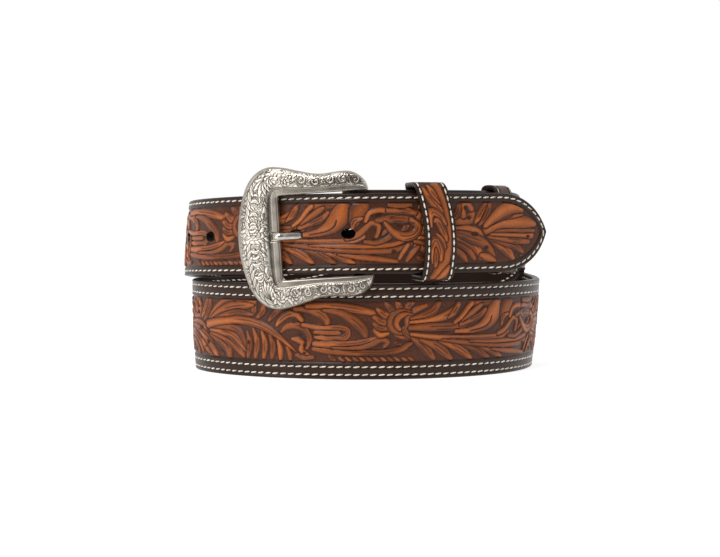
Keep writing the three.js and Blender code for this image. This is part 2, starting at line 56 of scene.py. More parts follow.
CONTACT = 0.3
BAR_RADIUS = 2.1
BAR_TURN = -3.0
BAR_LANE = -1.8
BAR_X = 35.0
BAR_HEIGHT = UPPER_BOTTOM + END_WIDTH / 2 - 1.55
FOLD_RADIUS = BAR_RADIUS + CONTACT + TAB_LEATHER / 2
FOLD_BLEND = 14.0
UNDER = BAR_LANE + FOLD_RADIUS
OVER = UNDER + LEATHER + CONTACT
TONGUE_HOLE_X = 6.4
HOLE_PITCH = 25.4
HOLE_COUNT = 5
TIP_TO_FIRST_HOLE = 106.5
POINT_LENGTH = 30.0
POINT_BLUNT = 0.8

# turn in degrees, lane outwards, rise as a share of UPPER_BOTTOM, widen from end to body, lean in degrees
WINDING = np.array([
    (-8, UNDER, 1, 0, 0),
    (12, UNDER, 1, 0, 0),
    (30, UNDER - 0.1 * LEATHER, 1, 0, 0),
    (52, UNDER - 1.0 * LEATHER, 1, 0, -6),
    (90, -1.9 * LEATHER, 0.93, 0.1, -4),
    (130, -2.1 * LEATHER, 0.69, 0.35, 0),
    (170, -2 * LEATHER, 0.35, 0.65, 0),
    (205, -1.7 * LEATHER, 0.08, 0.9, 0),
    (235, -1.2 * LEATHER, 0, 1, 1),
    (270, -0.3 * LEATHER, 0, 1, 2),
    (300, 0, 0, 1, 2),
    (360, 0, 0, 1, 1.5),
    (405, 0, 0, 1, 3),
    (440, 0, 0, 1, 5),
    (460, 0.1 * LEATHER, 0.03, 0.95, 4),
    (500, 0.3 * LEATHER, 0.22, 0.7, 2),
    (545, 0.6 * LEATHER, 0.52, 0.4, 0),
    (590, 0.85 * LEATHER, 0.79, 0.1, -2),
    (630, 0.65 * LEATHER, 0.898, 0, -4),
    (665, 0.55 * LEATHER, 0.935, 0, -3),
    (692, 0.6 * LEATHER, 0.955, 0, 0),
    (720, OVER, 0.969, 0, 0),
    (745, OVER, 0.972, 0, 0),
    (765, OVER + 0.9 * LEATHER, 0.976, 0, -2),
    (785, OVER + 2.3 * LEATHER, 0.978, 0, -2),
    (800, OVER + 3.6 * LEATHER, 0.978, 0, -2),
], float)


def smooth(share):
    held = np.clip(share, 0.0, 1.0)
    return held * held * (3 - 2 * held)


def through_rows(column, turn):
    """A curve through the winding's rows that never swings past a row"""
    x = WINDING[:, 0]
    y = WINDING[:, column]
    step = np.diff(y) / np.diff(x)
    before = step[:-1]
    after = step[1:]
    both = before * after > 0
    inner = np.where(both, 2 * before * after / np.where(both, before + after, 1), 0)
    slope = np.concatenate([step[:1], inner, step[-1:]])
    k = np.clip(np.searchsorted(x, turn, side="left") - 1, 0, len(x) - 2)
    span = x[k + 1] - x[k]
    u = (turn - x[k]) / span
    start = (1 + 2 * u) * (1 - u) ** 2 * y[k] + u * (1 - u) ** 2 * span * slope[k]
    return start + u * u * (3 - 2 * u) * y[k + 1] + u * u * (u - 1) * span * slope[k + 1]


def ring(turn):
    """A point of the ring's plan and the direction out of it"""
    side = np.sin(np.radians(turn))
    front = np.cos(np.radians(turn))
    widest = np.where(side > 0, RIGHT_WIDEST, LEFT_WIDEST)
    reach = np.where(front > 0, widest, RING_DEPTH - widest)
    point = np.stack([RING_HALF_WIDTH * side, widest - reach * front], -1)
    normal = np.stack([side * reach, -front * RING_HALF_WIDTH], -1)
    return point, normal / np.linalg.norm(normal, axis=-1, keepdims=True)


route_turn = np.arange(BAR_TURN, 800, 0.25)
ring_points, ring_normals = ring(route_turn)
route_plan = ring_points + ring_normals * through_rows(1, route_turn)[:, None]
route_steps = np.linalg.norm(np.diff(route_plan, axis=0), axis=1)
route_along = np.concatenate([[0], np.cumsum(route_steps)])
route_bottom = through_rows(2, route_turn) * UPPER_BOTTOM
route_half = (END_WIDTH + (BODY_WIDTH - END_WIDTH) * through_rows(3, route_turn)) / 2
route_lean = np.radians(through_rows(4, route_turn))

HOLE_IN_USE = float(np.interp(720 + BAR_TURN, route_turn, route_along)) - BAR_X + TONGUE_HOLE_X
FIRST_HOLE = HOLE_IN_USE + HOLE_PITCH
TIP = FIRST_HOLE + TIP_TO_FIRST_HOLE


def on_route(values, along):
    return np.interp(along, route_along, values)


def along_at(turn):
    return float(np.interp(turn, route_turn, route_along))


def run_along(points):
    """How far each point of a line lies along it"""
    return np.concatenate([[0], np.cumsum(np.linalg.norm(np.diff(points, axis=0), axis=1))])


def strap_half(along):
    """Half of the strap's width, which closes to a point at the tip"""
    share = np.clip((TIP - along) / POINT_LENGTH, 0, 1)
    half = on_route(route_half, along)
    return POINT_BLUNT + (half - POINT_BLUNT) * (1 - (1 - share) ** 2.1) ** 0.68


def strap_axes(along):
    """Plan point, direction out of the tooled face and direction across the strap, upwards"""
    reach = 1.0
    x = on_route(route_plan[:, 0], along)
    y = on_route(route_plan[:, 1], along)
    dx = on_route(route_plan[:, 0], along + reach) - on_route(route_plan[:, 0], along - reach)
    dy = on_route(route_plan[:, 1], along + reach) - on_route(route_plan[:, 1], along - reach)
    run = np.hypot(dx, dy)
    rise = (on_route(route_bottom, along + reach) - on_route(route_bottom, along - reach)) / run
    out = np.stack([dy / run, -dx / run, 0 * dx], -1)
    travel = np.stack([dx / run, dy / run, rise], -1)
    travel /= np.linalg.norm(travel, axis=-1, keepdims=True)
    up = np.array([0, 0, 1.0]) - travel * travel[..., 2:3]
    up /= np.linalg.norm(up, axis=-1, keepdims=True)
    up = up + out * np.sin(on_route(route_lean, along))[..., None]
    up /= np.linalg.norm(up, axis=-1, keepdims=True)
    return x, y, out, up, travel


# Buckle axes in plan: the frame is turned and tilted against the strap, and bent to follow it
FRAME_TILT = math.radians(3.9)
FRAME_YAW = math.radians(12.2075)
FRAME_BEND = 150.0
FRAME_BACK_FROM_BAR = 5.9
ARM_LENGTH = 43.4
BOW_WIDTH = 21.8
bar_ring, bar_normal = ring(np.array(BAR_TURN))
bar_centre = bar_ring + bar_normal * BAR_LANE
frame_right = np.array([math.cos(FRAME_YAW), -math.sin(FRAME_YAW), 0.0])
frame_out = np.array([-math.sin(FRAME_YAW), -math.cos(FRAME_YAW), 0.0])


def buckle_point(x, y, out):
    """A point of the flat upright frame in its place; x and y on its face, out from its back"""
    from_bar = x - BAR_X
    along = from_bar * math.cos(FRAME_TILT) - y * math.sin(FRAME_TILT)
    up = from_bar * math.sin(FRAME_TILT) + y * math.cos(FRAME_TILT)
    middle = along + BAR_X - (ARM_LENGTH - BOW_WIDTH) / 2
    bar_middle = BAR_X - (ARM_LENGTH - BOW_WIDTH) / 2
    bend = (bar_middle ** 2 - middle ** 2) / (2 * FRAME_BEND)
    centre = np.array([bar_centre[0], bar_centre[1], BAR_HEIGHT])
    outwards = np.asarray(out + FRAME_BACK_FROM_BAR + bend)[..., None] * frame_out
    return centre + np.asarray(along)[..., None] * frame_right + outwards + np.stack([0 * up, 0 * up, up],
                                                                                     -1)


def shift_to_bar(points):
    """How far the tilted heel bar leads points of the strap in plan"""
    lift = (points[..., 2] - BAR_HEIGHT) / math.cos(FRAME_TILT)
    foot = buckle_point(np.array(BAR_X), np.array(0.0), np.array(0.0))
    shift = buckle_point(BAR_X + 0 * lift, lift, 0 * lift) - foot
    shift[..., 2] = 0
    return shift


def strap_point(along, across, deep):
    """along from the heel bar, across from the middle upwards, deep out of the middle of the leather"""
    x, y, out, up, travel = strap_axes(along)
    middle = on_route(route_bottom, along) + up[..., 2] * on_route(route_half, along)
    point = np.stack([x, y, middle], -1) + up * across[..., None] + out * deep[..., None]
    # near the fold the strap follows the tilted heel bar
    held = 1 - smooth(along / (2 * FOLD_BLEND))
    return point + shift_to_bar(point) * held[..., None]


def placed(points):
    """Millimetres in the ring's plan to metres in the shared frame"""
    return (points + RING_ORIGIN) * MM


# The tooling: the leather was dampened, the pattern was cut with a swivel knife, and the ground
# was beaten down round it and matted with a stamp. Each carved shape is a spine of rows (along,
# across, half width), in millimetres on the strap, with a knife cut round it. The pattern repeats.
PX = 8.0
FIELD = 14.65
GROUND_DEPTH = -0.55
GROUND_TONE = 0.26
CUT_DEPTH = -0.8
CUT_REACH = 0.52
REPEAT = 210.0
REPEAT_START = 366.0
PATTERN_SHIFT = 0.62
UPPER_SHIFT = 1.855
SHAPE_WIDEN = 0.72
MAP_HALF = 16.0
REPEAT_MARGIN = 24.0
POD_IN_REPEAT = 382.0 - 1027.0
TIP_MAP_START = 990.0
TIP_MAP_LENGTH = 80.0
POCKET_PITCH = 2.7
POCKET_ROWS = 9
rng = np.random.default_rng(11)


def spine_line(rows):
    """A Catmull-Rom curve through the rows of a spine"""
    p = np.array(rows, float)
    p = np.vstack([2 * p[0] - p[1], p, 2 * p[-1] - p[-2]])
    parts = []
    for k in range(1, len(p) - 2):
        count = max(2, int(np.hypot(*(p[k + 1] - p[k])[:2]) / 0.8))
        u = (np.arange(count) / count)[:, None]
        a, b, c, d = p[k - 1], p[k], p[k + 1], p[k + 2]
        parts.append(0.5 * (2 * b + (c - a) * u + (2 * a - 5 * b + 4 * c - d) * u ** 2
                            + (3 * b - a - 3 * c + d) * u ** 3))
    parts.append(p[-2][None])
    line = np.vstack(parts)
    line[:, 2] = np.maximum(line[:, 2], 0.18)
    return line


def new_ground(start, length, half_height):
    """An empty piece of matted ground as two maps, height and tone"""
    rows = int(2 * half_height * PX)
    columns = int(length * PX)
    pitch = 0.95
    along = np.arange(columns) / PX
    across = np.arange(rows) / PX
    grid_x, grid_y = np.meshgrid(along, across)
    cell_x = np.floor(grid_x / pitch).astype(int)
    cell_y = np.floor(grid_y / pitch).astype(int)
    jitter = rng.uniform(0.15, 0.85, (rows, columns // 4 + 8, 2))
    nearest = np.full(grid_x.shape, 9.0)
    for i in (-1, 0, 1):
        for j in (-1, 0, 1):
            px = (cell_x + i + jitter[(cell_y + j) % rows, (cell_x + i) % jitter.shape[1], 0]) * pitch
            py = (cell_y + j + jitter[(cell_y + j) % rows, (cell_x + i) % jitter.shape[1], 1]) * pitch
            nearest = np.minimum(nearest, np.hypot(grid_x - px, grid_y - py))
    bead = np.clip(1 - nearest / 0.55, 0, 1)
    return {
        "start": start,
        "half": half_height,
        "height": GROUND_DEPTH - 0.1 + 0.22 * smooth(bead),
        "tone": GROUND_TONE - 0.07 + 0.13 * bead,
    }


def carve(ground, rows, vein=None, tone=0.85, lift=0.0, tilt=0.0, shift=0.0,
          widen=SHAPE_WIDEN, cut_reach=CUT_REACH):
    """Raises one shape along its spine and cuts round it; a vein is a knife line down its middle"""
    line = spine_line(rows)
    line[:, 0] += shift - ground["start"]
    line[:, 1] += ground["half"]
    line[:, 2] = np.maximum(line[:, 2] + widen * (line[:, 2] - 0.5), 0.2)
    reach = line[:, 2].max() + cut_reach + 0.2
    height = ground["height"]
    first_row = max(0, int((line[:, 1].min() - reach) * PX))
    last_row = min(height.shape[0], int((line[:, 1].max() + reach) * PX) + 1)
    first = max(0, int((line[:, 0].min() - reach) * PX))
    last = min(height.shape[1], int((line[:, 0].max() + reach) * PX) + 1)
    if first >= last or first_row >= last_row:
        return
    x, y = np.meshgrid(np.arange(first, last) / PX, np.arange(first_row, last_row) / PX)
    edge = np.full(x.shape, 1e3)
    share = np.zeros(x.shape)
    offset = np.zeros(x.shape)
    width = np.ones(x.shape)
    count = len(line) - 1
    for k in range(count):
        a = line[k]
        d = line[k + 1] - a
        size = max(d[0] ** 2 + d[1] ** 2, 1e-9)
        t = np.clip(((x - a[0]) * d[0] + (y - a[1]) * d[1]) / size, 0, 1)
        away_x = x - a[0] - t * d[0]
        away_y = y - a[1] - t * d[1]
        distance = np.hypot(away_x, away_y)
        local = a[2] + t * d[2]
        nearer = distance - local < edge
        edge = np.where(nearer, distance - local, edge)
        share = np.where(nearer, (k + t) / count, share)
        side = np.sign(d[0] * away_y - d[1] * away_x)
        offset = np.where(nearer, distance * side, offset)
        width = np.where(nearer, local, width)
    inside = edge < 0
    ratio = np.clip(np.abs(offset) / width, 0, 1)
    dome = 1 - ratio ** 2.4
    body = lift - 0.2 + 0.34 * np.minimum(1, width) * dome + tilt * offset / width
    # The colour darkens towards the shape's edges and grows lighter on the side that the tilt raises: painted shade
    # and painted light of the relief, held in the tone.
    colour = tone * (0.42 + 0.58 * (1 - ratio ** 1.9) + 0.9 * tilt * offset / width)
    if vein:
        window = smooth((share - vein[0]) / 0.12) * smooth((vein[1] - share) / 0.18)
        mark = window * np.exp(-((offset - 0.12 * width) / 0.27) ** 2)
        if width.max() > 1.7:
            side_line = smooth((share - vein[0] - 0.12) / 0.1) * smooth((vein[1] - share) / 0.3)
            mark = np.maximum(mark, side_line * np.exp(-((offset + 0.52 * width) / 0.22) ** 2))
        body -= 0.42 * mark
        colour *= 1 - 0.85 * mark
    region = np.s_[first_row:last_row, first:last]
    # Across the cut the tone falls to near black: dark antique paste in the knife cut, and painted shade of the bevel
    # beside the shape.
    cut = smooth(1 - edge / cut_reach)
    old_height = ground["height"][region]
    old_tone = ground["tone"][region]
    cut_height = np.minimum(old_height, old_height * (1 - cut) + CUT_DEPTH * cut)
    ground["height"][region] = np.where(inside, body, cut_height)
    ground["tone"][region] = np.where(inside, colour, old_tone * (1 - cut) + 0.02 * cut)


def pit(ground, along, across, long, wide, shift=0.0):
    """A small hollow pressed with a seeder, with a raised rim round it"""
    x0 = along + shift - ground["start"]
    y0 = across + ground["half"]
    rows, columns = ground["height"].shape
    first = max(0, int((x0 - 4) * PX))
    last = min(columns, int((x0 + 4) * PX))
    first_row = max(0, int((y0 - 4) * PX))
    last_row = min(rows, int((y0 + 4) * PX))
    if first >= last or first_row >= last_row:
        return
    x, y = np.meshgrid(np.arange(first, last) / PX, np.arange(first_row, last_row) / PX)
    r = np.hypot((x - x0) / long, (y - y0) / wide)
    region = np.s_[first_row:last_row, first:last]
    deep = smooth((1.15 - r) / 0.4)
    ground["height"][region] = ground["height"][region] * (1 - deep) + (GROUND_DEPTH - 0.1) * deep
    ground["tone"][region] = ground["tone"][region] * (1 - deep) + 0.1 * deep
    rim = np.exp(-((r - 1.5) / 0.28) ** 2) * (ground["height"][region] > -0.45)
    ground["height"][region] += 0.12 * rim


# the seed pod and the leaves that spring from behind it, as they lie beside a fan
POD = [
    (None, [(1005, 9.5, 1.3), (1009, 6.5, 1.5), (1013, 5.2, 1.6), (1018, 6.8, 1.9), (1019.3, 9, 1.2)]),
    (None, [(1014.2, 8.2, 1.2), (1013.5, 12, 1.4), (1016, 14.2, 1.2), (1018.6, 11.5, 1.1)]),
    ((0.1, 0.9), [(1008.5, 6.5, 0.7), (1011, 9.5, 1.3), (1012, 13, 0.8)]),
    (None, [(1005, 1.6, 0.8), (1012, 2, 1.1), (1018, 1.8, 1.2), (1022.5, 0, 1.2), (1024.6, -3.2, 0.7)]),
    (None, [(1005, -6, 0.8), (1010, -8, 1.1), (1014, -11, 1.2), (1016, -13.8, 0.6)]),
    ((0.1, 0.8), [(1005, -3.5, 1), (1012, -5, 1.3), (1017, -8, 1.3), (1020, -12, 1)]),
    ((0.15, 0.9), [(1005, -1.4, 1), (1012, -1.8, 1.4), (1018, -4, 1.7), (1022, -8, 1.5), (1023.6, -12, 1)]),
    ((0.1, 0.7), [(1006, 0.2, 0.7), (1012, -0.4, 1.2), (1019, -2.8, 1.8), (1024, -4.6, 1.6), (1028, -7.6,
                                                                                              1.3),
                  (1030.5, -11, 0.8)]),
    (None, [(1023.5, -10.8, 0.9), (1027, -12, 1.4), (1030.5, -13.4, 1)]),
]
POD_PITS = [
    (1017.3, 7.2, 1.25, 1.1),
    (1015.4, 12, 1.15, 1.1),
    (1020.2, -0.6, 2.1, 1.05),
    (1026.3, -7.2, 1.3, 1.15),
]
POD_CURL = [
    ((0.15, 0.95), [(1020.6, 5.2, 0.8), (1023, 8.2, 1.4), (1025.6, 12, 1.3), (1027, 14.4, 0.8)]),
    ((0.15, 0.9), [(1022.6, 3.6, 0.6), (1026, 7, 1.2), (1028, 11, 1.2), (1028.6, 14.4, 0.8)]),
]
# the fan of long blades in the repeat
FAN = [
    (None, [(372, -2.4, 0.7), (379, -6, 1.2), (386, -12, 1.3), (388, -14, 0.8)]),
    ((0.2, 0.9), [(383, -3.4, 0.8), (390, -5.4, 1.7), (395.5, -9, 1.9), (397, -13.6, 1.2)]),
    ((0.3, 0.95), [(384, -2.4, 0.7), (393, -4, 1.4), (400, -7.4, 1.6), (406, -12.6, 1)]),
    ((0.3, 0.95), [(383, -0.9, 0.7), (393, -1.6, 1.4), (400.5, -3.6, 1.5), (407.5, -10, 0.9)]),
    ((0.45, 0.95), [(384, 0.6, 0.8), (393, 0.9, 1.1), (401, 0.2, 1.3), (405.5, -3.6, 1.2), (407.6, -8.4,
                                                                                            0.7)]),
    (None, [(383, 5, 0.8), (388, 9, 1.4), (395, 12.6, 1.7), (404, 14, 1.6), (412.5, 13.4, 1.2)]),
    ((0.35, 0.95), [(384.5, 4.8, 0.8), (391, 8.2, 1.4), (399, 10.6, 1.7), (407, 11.6, 1.3), (412, 12,
                                                                                             0.7)]),
    ((0.4, 0.95), [(386, 4.2, 0.7), (394, 6.6, 1.1), (403, 8.2, 1.2), (411.5, 7.4, 0.7)]),
    (None, [(381.5, 1.6, 1.5), (388, 3, 1.4), (396, 4, 1.3), (403, 4.6, 1.4), (411, 3.8, 1.4), (419, 1.2,
                                                                                                1.3),
            (426, -3, 1), (431, -7, 0.7), (434.5, -10, 0.35)]),
]
# the lobed leaf on both sides of the fan's longest blade
LOBES = [
    (None, [(412.6, 13.6, 1.1), (412.4, 10, 1.2), (411.4, 7, 0.7)]),
    (None, [(418.4, 12.6, 1.1), (417.4, 9.4, 1.3), (414.6, 6.2, 0.8)]),
    (None, [(426.6, 11, 1.1), (423.4, 8.4, 1.2), (420.6, 5, 0.8)]),
    (None, [(437.4, 5.6, 1), (434.6, 8.2, 1.2), (430.6, 8.2, 1.3), (426.8, 5.6, 1.2), (424.6, 2.6, 0.7)]),
    (None, [(408.4, -1, 0.6), (409.6, -5, 1.2), (409.4, -9, 1.2), (408.6, -13, 0.9)]),
    (None, [(412, 0.6, 0.6), (413.8, -4.6, 1.2), (413.6, -9, 1.2), (412.8, -13, 0.9)]),
    (None, [(416.4, 0, 0.6), (418, -5, 1.2), (418, -9, 1.2), (417.4, -13, 0.9)]),
    (None, [(420.6, -1.6, 0.6), (422.2, -6, 1.2), (422.2, -10, 1.2), (421.8, -13, 0.9)]),
    (None, [(425, -4.4, 0.6), (426.4, -8, 1.1), (426.6, -11, 1.1), (426.4, -13.6, 0.8)]),
    (None, [(429.6, -7.6, 0.6), (431, -10.4, 1), (431.4, -13.6, 0.8)]),
    (None, [(427, -0.6, 0.6), (430, 2, 1.2), (435, 2.6, 1.3), (439.4, 0, 1.2), (441, -4, 1.1), (439.6, -8,
                                                                                                0.8)]),
    (None, [(432.6, -3.6, 0.7), (435.4, -4.2, 1.1), (438, -6, 1), (436.8, -8.8, 1), (440.4, -11.6, 0.9)]),
    (None, [(434.6, -11.4, 0.8), (438, -12.8, 0.9), (442.6, -12.4, 0.8)]),
]
LOBE_PITS = [
    (409.2, -6.2, 0.9, 1.1),
    (433.4, 4.8, 1.3, 0.9),
    (436.6, -1.6, 1, 0.8),
    (438.8, -6.6, 0.9, 1.2),
    (411, -11, 0.8, 1),
    (415.4, -11, 0.8, 1),
    (419.8, -11, 0.8, 1),
    (424.2, -11.4, 0.8, 1),
    (438.4, -10.6, 0.9, 0.7),
]
# ribbons that curl over between the lobed leaf and the flower
RIBBONS = [
    (None, [(432, 13.8, 0.6), (445, 14.1, 0.7), (456, 13.9, 0.5)]),
    ((0.5, 0.95), [(434, 10.8, 0.9), (441, 10.4, 1.3), (446.4, 8.4, 1.4), (449.6, 5.4, 1.2), (449.4, 3.4,
                                                                                              0.9)]),
    (None, [(440, 12.3, 1), (450, 12.5, 1.2), (462, 11.2, 1.4), (471.4, 9.2, 1.1)]),
    ((0.5, 0.97), [(448, 10.3, 0.7), (456, 8.9, 1.2), (462, 5.6, 1.6), (466.4, 1.4, 1.6), (467.8, -2, 1)]),
    (None, [(438, 3, 0.9), (447, 1.6, 1), (455, 1.9, 1), (459.2, 0.6, 1), (458.4, -2.6, 1.1), (454, -3.4,
                                                                                               1.2),
            (447, -2.9, 1), (443.6, -2.6, 0.6)]),
    (None, [(443.6, -0.4, 0.7), (450, -0.6, 0.9), (455.4, -0.6, 0.8)]),
    (None, [(443, -8.3, 0.9), (450, -8.9, 1.3), (462, -9.8, 1.2), (474, -10, 1), (484, -8.6, 1.1), (489.6,
                                                                                                    -5.4, 0.7)]),
    (None, [(443.4, -6, 1), (452, -6.2, 1.2), (463, -5.6, 1.1), (470, -3.9, 0.9), (474, -2.4, 0.5)]),
    (None, [(452, -7.8, 0.6), (464, -7.8, 0.8), (470.6, -6.2, 1), (475, -3.8, 1), (478.2, -5, 0.9),
            (476.4, -7.2, 0.7)]),
]
FRINGE_FROM = 455.0
FRINGE_TO = 493.0
FRINGE_PITCH = 3.3
# the round flower with its fluted petals and the curl at its heart
FLOWER = [
    (None, [(478, -0.6, 1), (474.6, -1.6, 1.1), (472.4, 0.6, 1)]),
    (None, [(479.4, 2, 1.2), (474.8, 2, 1.3), (472, 3.6, 0.9)]),
    (None, [(479.6, 4.6, 1.2), (475.6, 5, 1.3), (472, 7, 0.9)]),
    (None, [(480.6, 6.8, 1.1), (477, 8.2, 1.3), (473.6, 10.6, 0.9)]),
    (None, [(482.4, 8.2, 1.1), (480, 10.4, 1.2), (477.6, 13.2, 0.9)]),
    (None, [(484.8, 9.4, 1), (483.6, 11.6, 1.2), (483, 14, 0.9)]),
    (None, [(487.4, 9.6, 0.9), (488, 11.8, 1.2), (490.2, 14, 0.9)]),
    (None, [(489.6, 8.8, 0.8), (492.4, 10.8, 1.1), (496.6, 12.4, 0.8)]),
    (None, [(482, -1.2, 0.9), (486, -2.2, 1.2), (490, -3.4, 0.9)]),
    (None, [(488.6, 9.4, 0.8), (484, 9.7, 1), (480.4, 7.6, 1.1), (479.2, 4, 1.1), (481, 0.6, 1.1), (485.6,
                                                                                                    -0.8, 0.9)]),
    (None, [(489.6, 8, 0.7), (485.6, 8.2, 1), (482.8, 6.2, 1.1), (482.2, 3.4, 1), (483.8, 1, 0.8)]),
    (None, [(491, 6.6, 0.6), (487.8, 6.2, 1.1), (488, 2.6, 1.2), (486.2, 0.4, 1), (489, -2.6, 0.9),
            (492.4, -4, 0.5)]),
]
FLOWER_PITS = [(485.4, 3.9, 1, 1.9)]
# blades that spring from the flower, and the stems below them
SPRAY = [
    ((0.3, 0.95), [(489, 6.2, 0.6), (494, 7.4, 1), (499.6, 9.4, 1.4), (503, 13.6, 1)]),
    ((0.55, 0.97), [(489, 4.4, 0.7), (499, 5.2, 1.1), (507, 7.4, 1.5), (511.6, 10, 1.5), (513.6, 13.8, 1)]),
    ((0.2, 0.95), [(490, -3.4, 0.7), (494, -6, 1.5), (497.6, -9.6, 1.6), (500.6, -13, 0.9)]),
    ((0.3, 0.95), [(494, -4, 0.7), (501, -6.6, 1.5), (506, -10, 1.6), (509.8, -13.4, 0.9)]),
    ((0.3, 0.95), [(503, -4.6, 0.6), (511, -7.4, 1.4), (516, -10, 1.5), (521, -13.6, 0.9)]),
    ((0.3, 0.95), [(513, -5.6, 0.6), (521, -8, 1.4), (526, -10.6, 1.4), (531.6, -13.8, 0.9)]),
    ((0.3, 0.9), [(523, -7, 0.6), (531, -9.4, 1.2), (536.6, -12, 1.2), (541, -14, 0.8)]),
    (None, [(534, -9.8, 0.6), (543, -11, 1), (552, -12, 1), (561, -13.2, 0.8)]),
    (None, [(489, 1.8, 1), (498, 2, 1.4), (508, 2, 1.5), (516, 2.4, 1.3)]),
    (None, [(489.6, -1.4, 0.8), (500, -2.8, 1), (515, -4, 1.2), (530, -4.3, 1.3), (540, -3.8, 1.1),
            (545.4, -1.6, 1)]),
    (None, [(505, -4.4, 0.6), (520, -6.2, 1), (534, -7.6, 1.1), (548, -8.3, 1.1), (560, -7.8, 1), (568,
                                                                                                   -5, 0.7)]),
    (None, [(520, -5.4, 0.5), (535, -6, 0.8), (550, -6, 0.9), (560, -5, 0.9), (567, -2.4, 0.6)]),
]
# the big smooth leaf with the curls in its elbow, and the bud at the end of the repeat
BIG_LEAF = [
    ((0.3, 0.95), [(508, 6.2, 0.6), (511, 8.8, 1.2), (513.4, 12.6, 1)]),
    (None, [(520, 13.2, 1.1), (530, 13, 1.2), (537.4, 12.4, 1)]),
    (None, [(511.4, 4, 0.8), (515.4, 7, 1), (518.4, 10.8, 1.1), (521, 13.2, 1)]),
    (None, [(514.6, 3, 0.9), (519.6, 4.8, 1.1), (525.4, 6.8, 1.2), (529, 9.8, 0.9)]),
    (None, [(515.6, 4.6, 0.5), (520.4, 8, 1.1), (525, 11, 1.1), (527, 12.2, 0.7)]),
    (None, [(512, -0.4, 0.8), (520, -0.2, 1.1), (527, 1.6, 1.7), (532.4, 5, 2.7), (535.4, 9, 3), (536.6,
                                                                                                  12.4, 2)]),
    (None, [(541, 3, 0.8), (541.8, 7, 2), (543.6, 10.8, 2.6), (546, 12.8, 1.6)]),
    ((0.2, 0.8), [(540.4, 1.6, 0.6), (541.4, 5.6, 1), (545, 7, 0.7)]),
    (None, [(538, -2.6, 0.9), (543, -0.8, 1.1), (547, 2.8, 1), (549.6, 4.8, 0.9), (552.6, 3.6, 0.9),
            (552.4, 0.4, 0.8),
            (551.2, -2, 0.7)]),
    (None, [(546.4, -4, 0.8), (551.6, -4.4, 0.9), (556.6, -2.6, 0.9), (559, 0, 0.9), (557, 1.4, 0.8),
            (554.6, -0.4, 0.7)]),
    (None, [(546.6, 5.8, 0.8), (548.4, 9.6, 0.9), (553, 11, 1), (559, 10.2, 1)]),
    (None, [(552, 6, 0.8), (557, 6.6, 1.3), (562, 7, 1.5), (568, 6.4, 1.3)]),
    ((0.3, 0.9), [(557, 10.6, 0.9), (563.6, 11, 1.3), (570, 9.4, 0.9)]),
    (None, [(555.6, 5, 0.7), (559.6, 0.6, 1.2), (564.6, -1.6, 1.5), (569.6, -0.4, 1.4), (571.4, 3.4, 1.2),
            (568, 6.2, 1)]),
    (None, [(558, 13.4, 0.9), (563.4, 13, 1), (568, 13.6, 0.8)]),
    (None, [(562.4, -12, 0.7), (564.4, -8.6, 0.9), (566.6, -5.6, 0.8)]),
    (None, [(566, -13, 0.7), (568.6, -9.6, 1), (571.6, -6.6, 0.8)]),
]
BIG_LEAF_PITS = [
    (550.6, -2.8, 1.1, 0.9),
    (552.4, 8.3, 1.7, 1),
    (562.6, 3.6, 1.7, 1.3),
    (559.8, -8.6, 1.2, 1.2),
]
# cuts made across finished shapes: along, across and half width, as a spine
DECORATIVE_CUTS = [
    [(520, -0.4, 0.22), (528, 1, 0.3), (532, 3.4, 0.3), (533.2, 6.4, 0.18)],
    [(533, 0.6, 0.2), (537.6, 4, 0.35), (539, 8, 0.4), (539, 12.4, 0.3)],
    [(558, 7.6, 0.2), (563, 8.6, 0.3), (568.4, 8, 0.2)],
    [(564, 4.4, 0.2), (567.4, 5.2, 0.3), (569.6, 4.6, 0.2)],
]
# the fan that fills the pointed tip
TIP_FAN = [
    (None, [(1026, 3.2, 1), (1030, 6.4, 1.6), (1036, 10.2, 2.1), (1042, 12, 2.1), (1048, 10.8, 1)]),
    (None, [(1028.6, 4.2, 0.7), (1034.6, 6.6, 0.9), (1041, 8.4, 0.7)]),
    (None, [(1034, 6.4, 0.5), (1041, 7.6, 0.8), (1048, 8.6, 0.6)]),
    (None, [(1026.6, 1.4, 1.6), (1033, 4, 1.6), (1042, 4.9, 1.9), (1050, 4.9, 2), (1056.4, 4, 1)]),
    (None, [(1030, 0.6, 0.6), (1040, 1, 0.9), (1049, 0.9, 1), (1056, 0.6, 0.7)]),
    (None, [(1029, -0.9, 0.6), (1039, -1.1, 0.9), (1047, -1.2, 1.1), (1053.6, -1.4, 1.4)]),
    ((0.4, 0.9), [(1028, -2, 0.7), (1036, -3, 1.1), (1044, -3.9, 1.3), (1051.6, -4.4, 1)]),
    ((0.35, 0.95), [(1030, -3.4, 0.7), (1037, -5, 1.3), (1043, -6.6, 1.4), (1047.6, -9.4, 0.9)]),
    ((0.3, 0.9), [(1029, -3.6, 0.7), (1034.4, -6.4, 1.6), (1038.6, -9.4, 1.6), (1041.6, -12.6, 0.9)]),
]
TIP_PITS = [(1051.4, -2, 1.1, 0.6)]


def all_shapes(groups):
    return [shape for group in groups for shape in group]


def knife(ground, rows, shift):
    """A single tapered knife cut"""
    line = spine_line(rows)
    x0 = line[:, 0] + shift - ground["start"]
    y0 = line[:, 1] + ground["half"]
    rows_count, columns = ground["height"].shape
    for k in range(len(line) * 4 - 3):
        t = k / 4
        i = min(int(t), len(line) - 2)
        u = t - i
        px = x0[i] + (x0[i + 1] - x0[i]) * u
        py = y0[i] + (y0[i + 1] - y0[i]) * u
        width = line[i, 2]
        first = int((px - 1.2) * PX)
        first_row = int((py - 1.2) * PX)
        if first < 0 or first_row < 0 or first + 20 > columns or first_row + 20 > rows_count:
            continue
        x, y = np.meshgrid(np.arange(first, first + 20) / PX, np.arange(first_row, first_row + 20) / PX)
        mark = np.exp(-(np.hypot(x - px, y - py) / (width + 0.12)) ** 2)
        region = np.s_[first_row:first_row + 20, first:first + 20]
        ground["height"][region] = np.minimum(ground["height"][region], 0.05 - 0.6 * mark)
        ground["tone"][region] = np.minimum(ground["tone"][region], 1.0 - 0.97 * mark)


